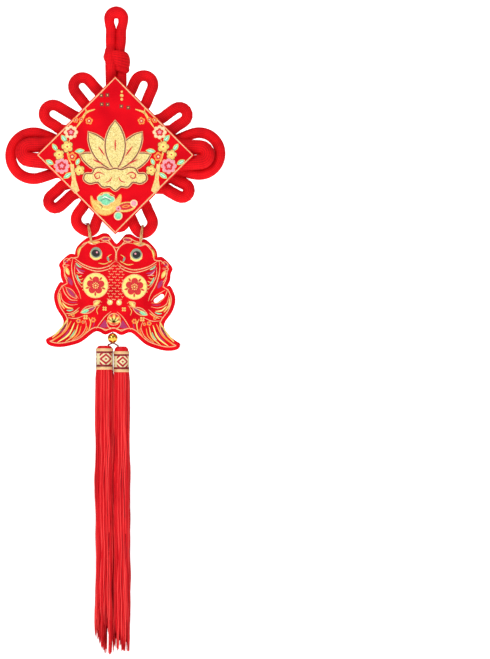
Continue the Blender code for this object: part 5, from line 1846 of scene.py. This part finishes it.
        where = add_node(tree, "ShaderNodeVectorMath", {0: swayed, 1: lowered}, operation="ADD").outputs[0]
        placed = add_node(tree, "GeometryNodeSetPosition", {"Geometry": strands, "Position": where}).outputs[0]

        # Thread thickness, thinner at the tip.
        tip = add_node(tree, "ShaderNodeMapRange", {0: along, 1: 0.95, 2: 1.0, 3: 1.0, 4: 0.35}).outputs[0]
        thick = math_of("MULTIPLY", tip, given["Radius"])
        sized = add_node(tree, "GeometryNodeSetCurveRadius", {"Curve": placed, "Radius": thick}).outputs[0]
        section = add_node(tree, "GeometryNodeCurvePrimitiveCircle", {"Resolution": 4, "Radius": 1.0}).outputs[0]
        cord = add_node(tree, "GeometryNodeCurveToMesh", {"Curve": sized, "Profile Curve": section, "Fill Caps": True})
        if "Scale" in cord.inputs:
            tree.links.new(add_node(tree, "GeometryNodeInputRadius").outputs[0], cord.inputs["Scale"])
        soft = add_node(tree, "GeometryNodeSetShadeSmooth", {0: cord.outputs[0]}).outputs[0]
        whole = add_node(tree, "GeometryNodeRealizeInstances", {0: soft}).outputs[0]
        dressed = add_node(tree, "GeometryNodeSetMaterial", {"Geometry": whole, "Material": given["Finish"]}).outputs[0]
        add_node(tree, "NodeGroupOutput", {0: dressed})
        return tree

    def fringe(self) -> bpy.types.Object:
        """The strands, hung under the ribbon."""
        guide = link_object(f"fringe_{self.side}_guide", bpy.data.meshes.new(f"fringe_{self.side}_guide"))
        start = self.band_bottom + 3.0
        inputs = {
            "Strands": self.strands,
            "Steps": self.steps,
            "Core": (self.core - 0.3) * MM,
            "Radius": self.strand_radius * MM,
            "Spread": self.spread,
            "Wave": 3.4 * MM,
            "Outer Drop": (start - self.outer_end) * MM,
            "Inner Drop": (start - self.inner_end) * MM,
            "Ragged": self.ragged * MM,
            "Inward": math.copysign(1.0, -self.x),
            "Seed": self.seed,
            "Finish": SILK.build(),
        }
        piece = grow(f"fringe_{self.side}", guide, self.fringe_tree(), inputs)
        for vert in piece.data.vertices:
            vert.co += Vector((self.x, 0, start)) * MM
        piece.data.update()
        return piece

    def turned(self, name: str, profile: Sequence[Point2], sides: int, finish: Finish, count: int = 0) -> bpy.types.Object:
        """Turn a closed profile of (radius, height) round the tassel's middle line.

        Args:
            name: the piece's name.
            profile: the section, which starts and ends on the axis or closes on itself.
            sides: how many steps make a turn.
            finish: its finish.
            count: how often the ribbon's pattern repeats round it, or 0 for a piece without one.

        Returns:
            The new object.
        """
        bm = bmesh.new()
        uv = bm.loops.layers.uv.new("ribbon_uv")
        rings = []
        for radius, height in profile:
            if radius == 0.0:
                rings.append([bm.verts.new((self.x, 0, height))] * sides)
                continue
            turns = [math.tau * side / sides for side in range(sides)]
            rings.append([bm.verts.new((self.x + radius * math.cos(t), radius * math.sin(t), height)) for t in turns])
        pairs = list(zip(range(len(rings)), range(1, len(rings))))
        if profile[0][0] > 0.0:
            pairs.append((len(rings) - 1, 0))
        top, bottom = self.band_top, self.band_bottom
        for low, high in pairs:
            for side in range(sides):
                after = (side + 1) % sides
                corners = [rings[low][side], rings[low][after], rings[high][after], rings[high][side]]
                face = bm.faces.new(list(dict.fromkeys(corners)))
                for loop in face.loops:
                    at_end = loop.vert in (rings[low][after], rings[high][after])
                    u = (side + (1 if at_end else 0)) / sides * count + self.figure_turn
                    loop[uv].uv = (u, (top - loop.vert.co.z) / (top - bottom))
        return settle(name, bm, [finish], 50.0)

    def head(self) -> bpy.types.Object:
        """The wound top of the head: strands folded over into a soft dome with shallow grooves."""
        bm = bmesh.new()
        sides = 60
        top, low = self.dome_top, self.band_bottom + 1.0
        height = top - self.band_top
        profile = [(0.18, top - 0.5), (0.3, top - 0.05), (0.62, top), (0.84, top - 0.25 * height), (0.96, top - 0.62 * height)]
        profile += [(1.0, top - height), (1.0, low)]
        rings = []
        for share, z in profile:
            ring = []
            for side in range(sides):
                turn = math.tau * side / sides
                groove = 0.16 * (side % 3 - 1) * min(1.0, 2 * share)
                reach = self.core * share + groove
                ring.append(bm.verts.new((self.x + reach * math.cos(turn), reach * math.sin(turn), z)))
            rings.append(ring)
        for first, second in zip(rings, rings[1:]):
            for side in range(sides):
                after = (side + 1) % sides
                bm.faces.new((first[side], first[after], second[after], second[side]))
        bm.faces.new(rings[0])
        bm.faces.new(rings[-1])
        piece = settle(f"tassel_head_{self.side}", bm, [SILK], 70.0)
        # Each column of the dome gets its own value, which the silk finish paints from dark shade through the thread's
        # red to pale sheen.
        shades = piece.data.attributes.new("shade", "FLOAT", "POINT")
        chooser = random.Random(SEED + self.seed)
        tones = [chooser.uniform(0.25, 0.75) for _ in range(sides)]
        shades.data.foreach_set("value", [tones[index % sides] for index in range(len(piece.data.vertices))])
        return piece

    def ribbon(self) -> bpy.types.Object:
        """The woven sleeve, with a thin raised edge above and below."""
        inner, outer = self.core + 0.15, self.core + self.ribbon_wall
        top, bottom = self.band_top, self.band_bottom
        profile = [(inner, top), (inner, bottom), (outer, bottom), (outer + 0.22, bottom + 0.3)]
        profile += [(outer + 0.22, bottom + 2.2), (outer, bottom + 2.6), (outer, top - 2.6)]
        profile += [(outer + 0.22, top - 2.2), (outer + 0.22, top - 0.3), (outer, top)]
        return self.turned(f"ribbon_{self.side}", profile, 72, RIBBON, self.repeats)

    def build(self) -> None:
        """Make the head, the ribbon and the fringe."""
        dress_piece(self.fringe(), "tassel_red", f"tassel_{self.side}")
        dress_piece(self.head(), "tassel_red")
        dress_piece(self.ribbon(), "band_gold", f"band_{self.side}")


TASSELS = (
    Tassel("left", -10.1, 6.8, -292.6, -295.0, -314.0, -553.0, -568.4, 3),
    Tassel("right", 5.0, 6.2, -293.4, -297.6, -316.2, -566.0, -565.0, 9),
)


PARTS = (HangingLoop(), KnotWork(), Plaque(), FishBoard(), Ties(), Bead(), *TASSELS)


@dataclass
class Studio:
    """A white sweep of paper, soft lights all round and the camera in front."""

    scale_mm: float = 0.894
    image_width: float = 490.0
    image_height: float = 659.0
    origin_px: Point2 = (115.8, 18.3)
    lens: float = 200.0
    sensor: float = 36.0
    floor_z: float = -640.0
    wall_y: float = 9000.0
    half_width: float = 6000.0
    paper_glow: float = 0.75

    def backdrop(self) -> None:
        """The paper: a floor that curves up into a wall behind the ornament."""
        bend = 500.0
        profile = [(-self.wall_y, self.floor_z),(self.wall_y - bend, self.floor_z)]
        for index in range(1, 13):
            turn = math.pi / 2 * index / 12
            profile.append((self.wall_y - bend + bend * math.sin(turn), self.floor_z + bend * (1 - math.cos(turn))))
        profile.append((self.wall_y, 2500.0))
        bm = bmesh.new()
        rows = [[bm.verts.new((side * self.half_width, y, z)) for side in (-1, 1)] for y, z in profile]
        for low, high in zip(rows, rows[1:]):
            bm.faces.new((low[0], low[1], high[1], high[0]))
        paper = settle("paper_sweep", bm, [PrintedInk("white_paper", 0.9, light_hex="#FFFFFF", deep_hex="#FCFCFC")])
        shader = paper.data.materials[0].node_tree.nodes["Principled BSDF"]
        shader.inputs["Emission Color"].default_value = (1.0, 1.0, 1.0, 1.0)
        shader.inputs["Emission Strength"].default_value = self.paper_glow

    def light(self, name: str, place: Sequence[float], target: Sequence[float], size: float, watts: float) -> None:
        """One soft square lamp that looks at a target. Sizes are in metres."""
        data = bpy.data.lights.new(name, "AREA")
        data.shape = "SQUARE"
        data.size = size
        data.energy = watts
        lamp = bpy.data.objects.new(name, data)
        lamp.location = place
        lamp.rotation_euler = (Vector(target) - Vector(place)).to_track_quat("-Z", "Y").to_euler()
        bpy.context.scene.collection.objects.link(lamp)

    def camera(self) -> None:
        """A long lens straight in front, framed as the photograph."""
        data = bpy.data.cameras.new("front_camera")
        data.lens = self.lens
        data.sensor_width = self.sensor
        data.sensor_fit = "AUTO"
        data.clip_end = 50.0
        camera = bpy.data.objects.new("front_camera", data)
        x = (self.image_width / 2 - self.origin_px[0]) * self.scale_mm * MM
        z = -(self.image_height / 2 - self.origin_px[1]) * self.scale_mm * MM
        distance = self.image_height * self.scale_mm * MM * self.lens / self.sensor
        camera.location = (x, -distance, z)
        camera.rotation_euler = (math.pi / 2, 0, 0)
        bpy.context.scene.collection.objects.link(camera)
        bpy.context.scene.camera = camera

    def build(self) -> None:
        """Set up paper, lamps, a bright surround and the camera."""
        self.backdrop()
        middle = (0.0, 0.0, -0.28)
        self.light("key", (-1.0, -1.8, 0.8), middle, 0.6, 22.0)
        self.light("fill", (1.6, -1.6, 0.1), middle, 1.2, 6.0)
        self.light("top", (0.0, -0.3, 1.5), middle, 0.8, 7.0)
        world = bpy.data.worlds.new("studio_surround")
        world.use_nodes = True
        surround = world.node_tree.nodes["Background"]
        surround.inputs["Color"].default_value = (1.0, 1.0, 1.0, 1.0)
        surround.inputs["Strength"].default_value = 0.26
        bpy.context.scene.world = world
        bpy.context.scene.view_settings.view_transform = "Standard"
        self.camera()


def main() -> None:
    """Build every sub-assembly in order."""
    logging.basicConfig(level=logging.INFO, format="%(message)s")
    random.seed(SEED)
    for part in PARTS:
        LOG.info("Building %s", type(part).__name__)
        part.build()
    Studio().build()


if __name__ == "__main__":
    main()
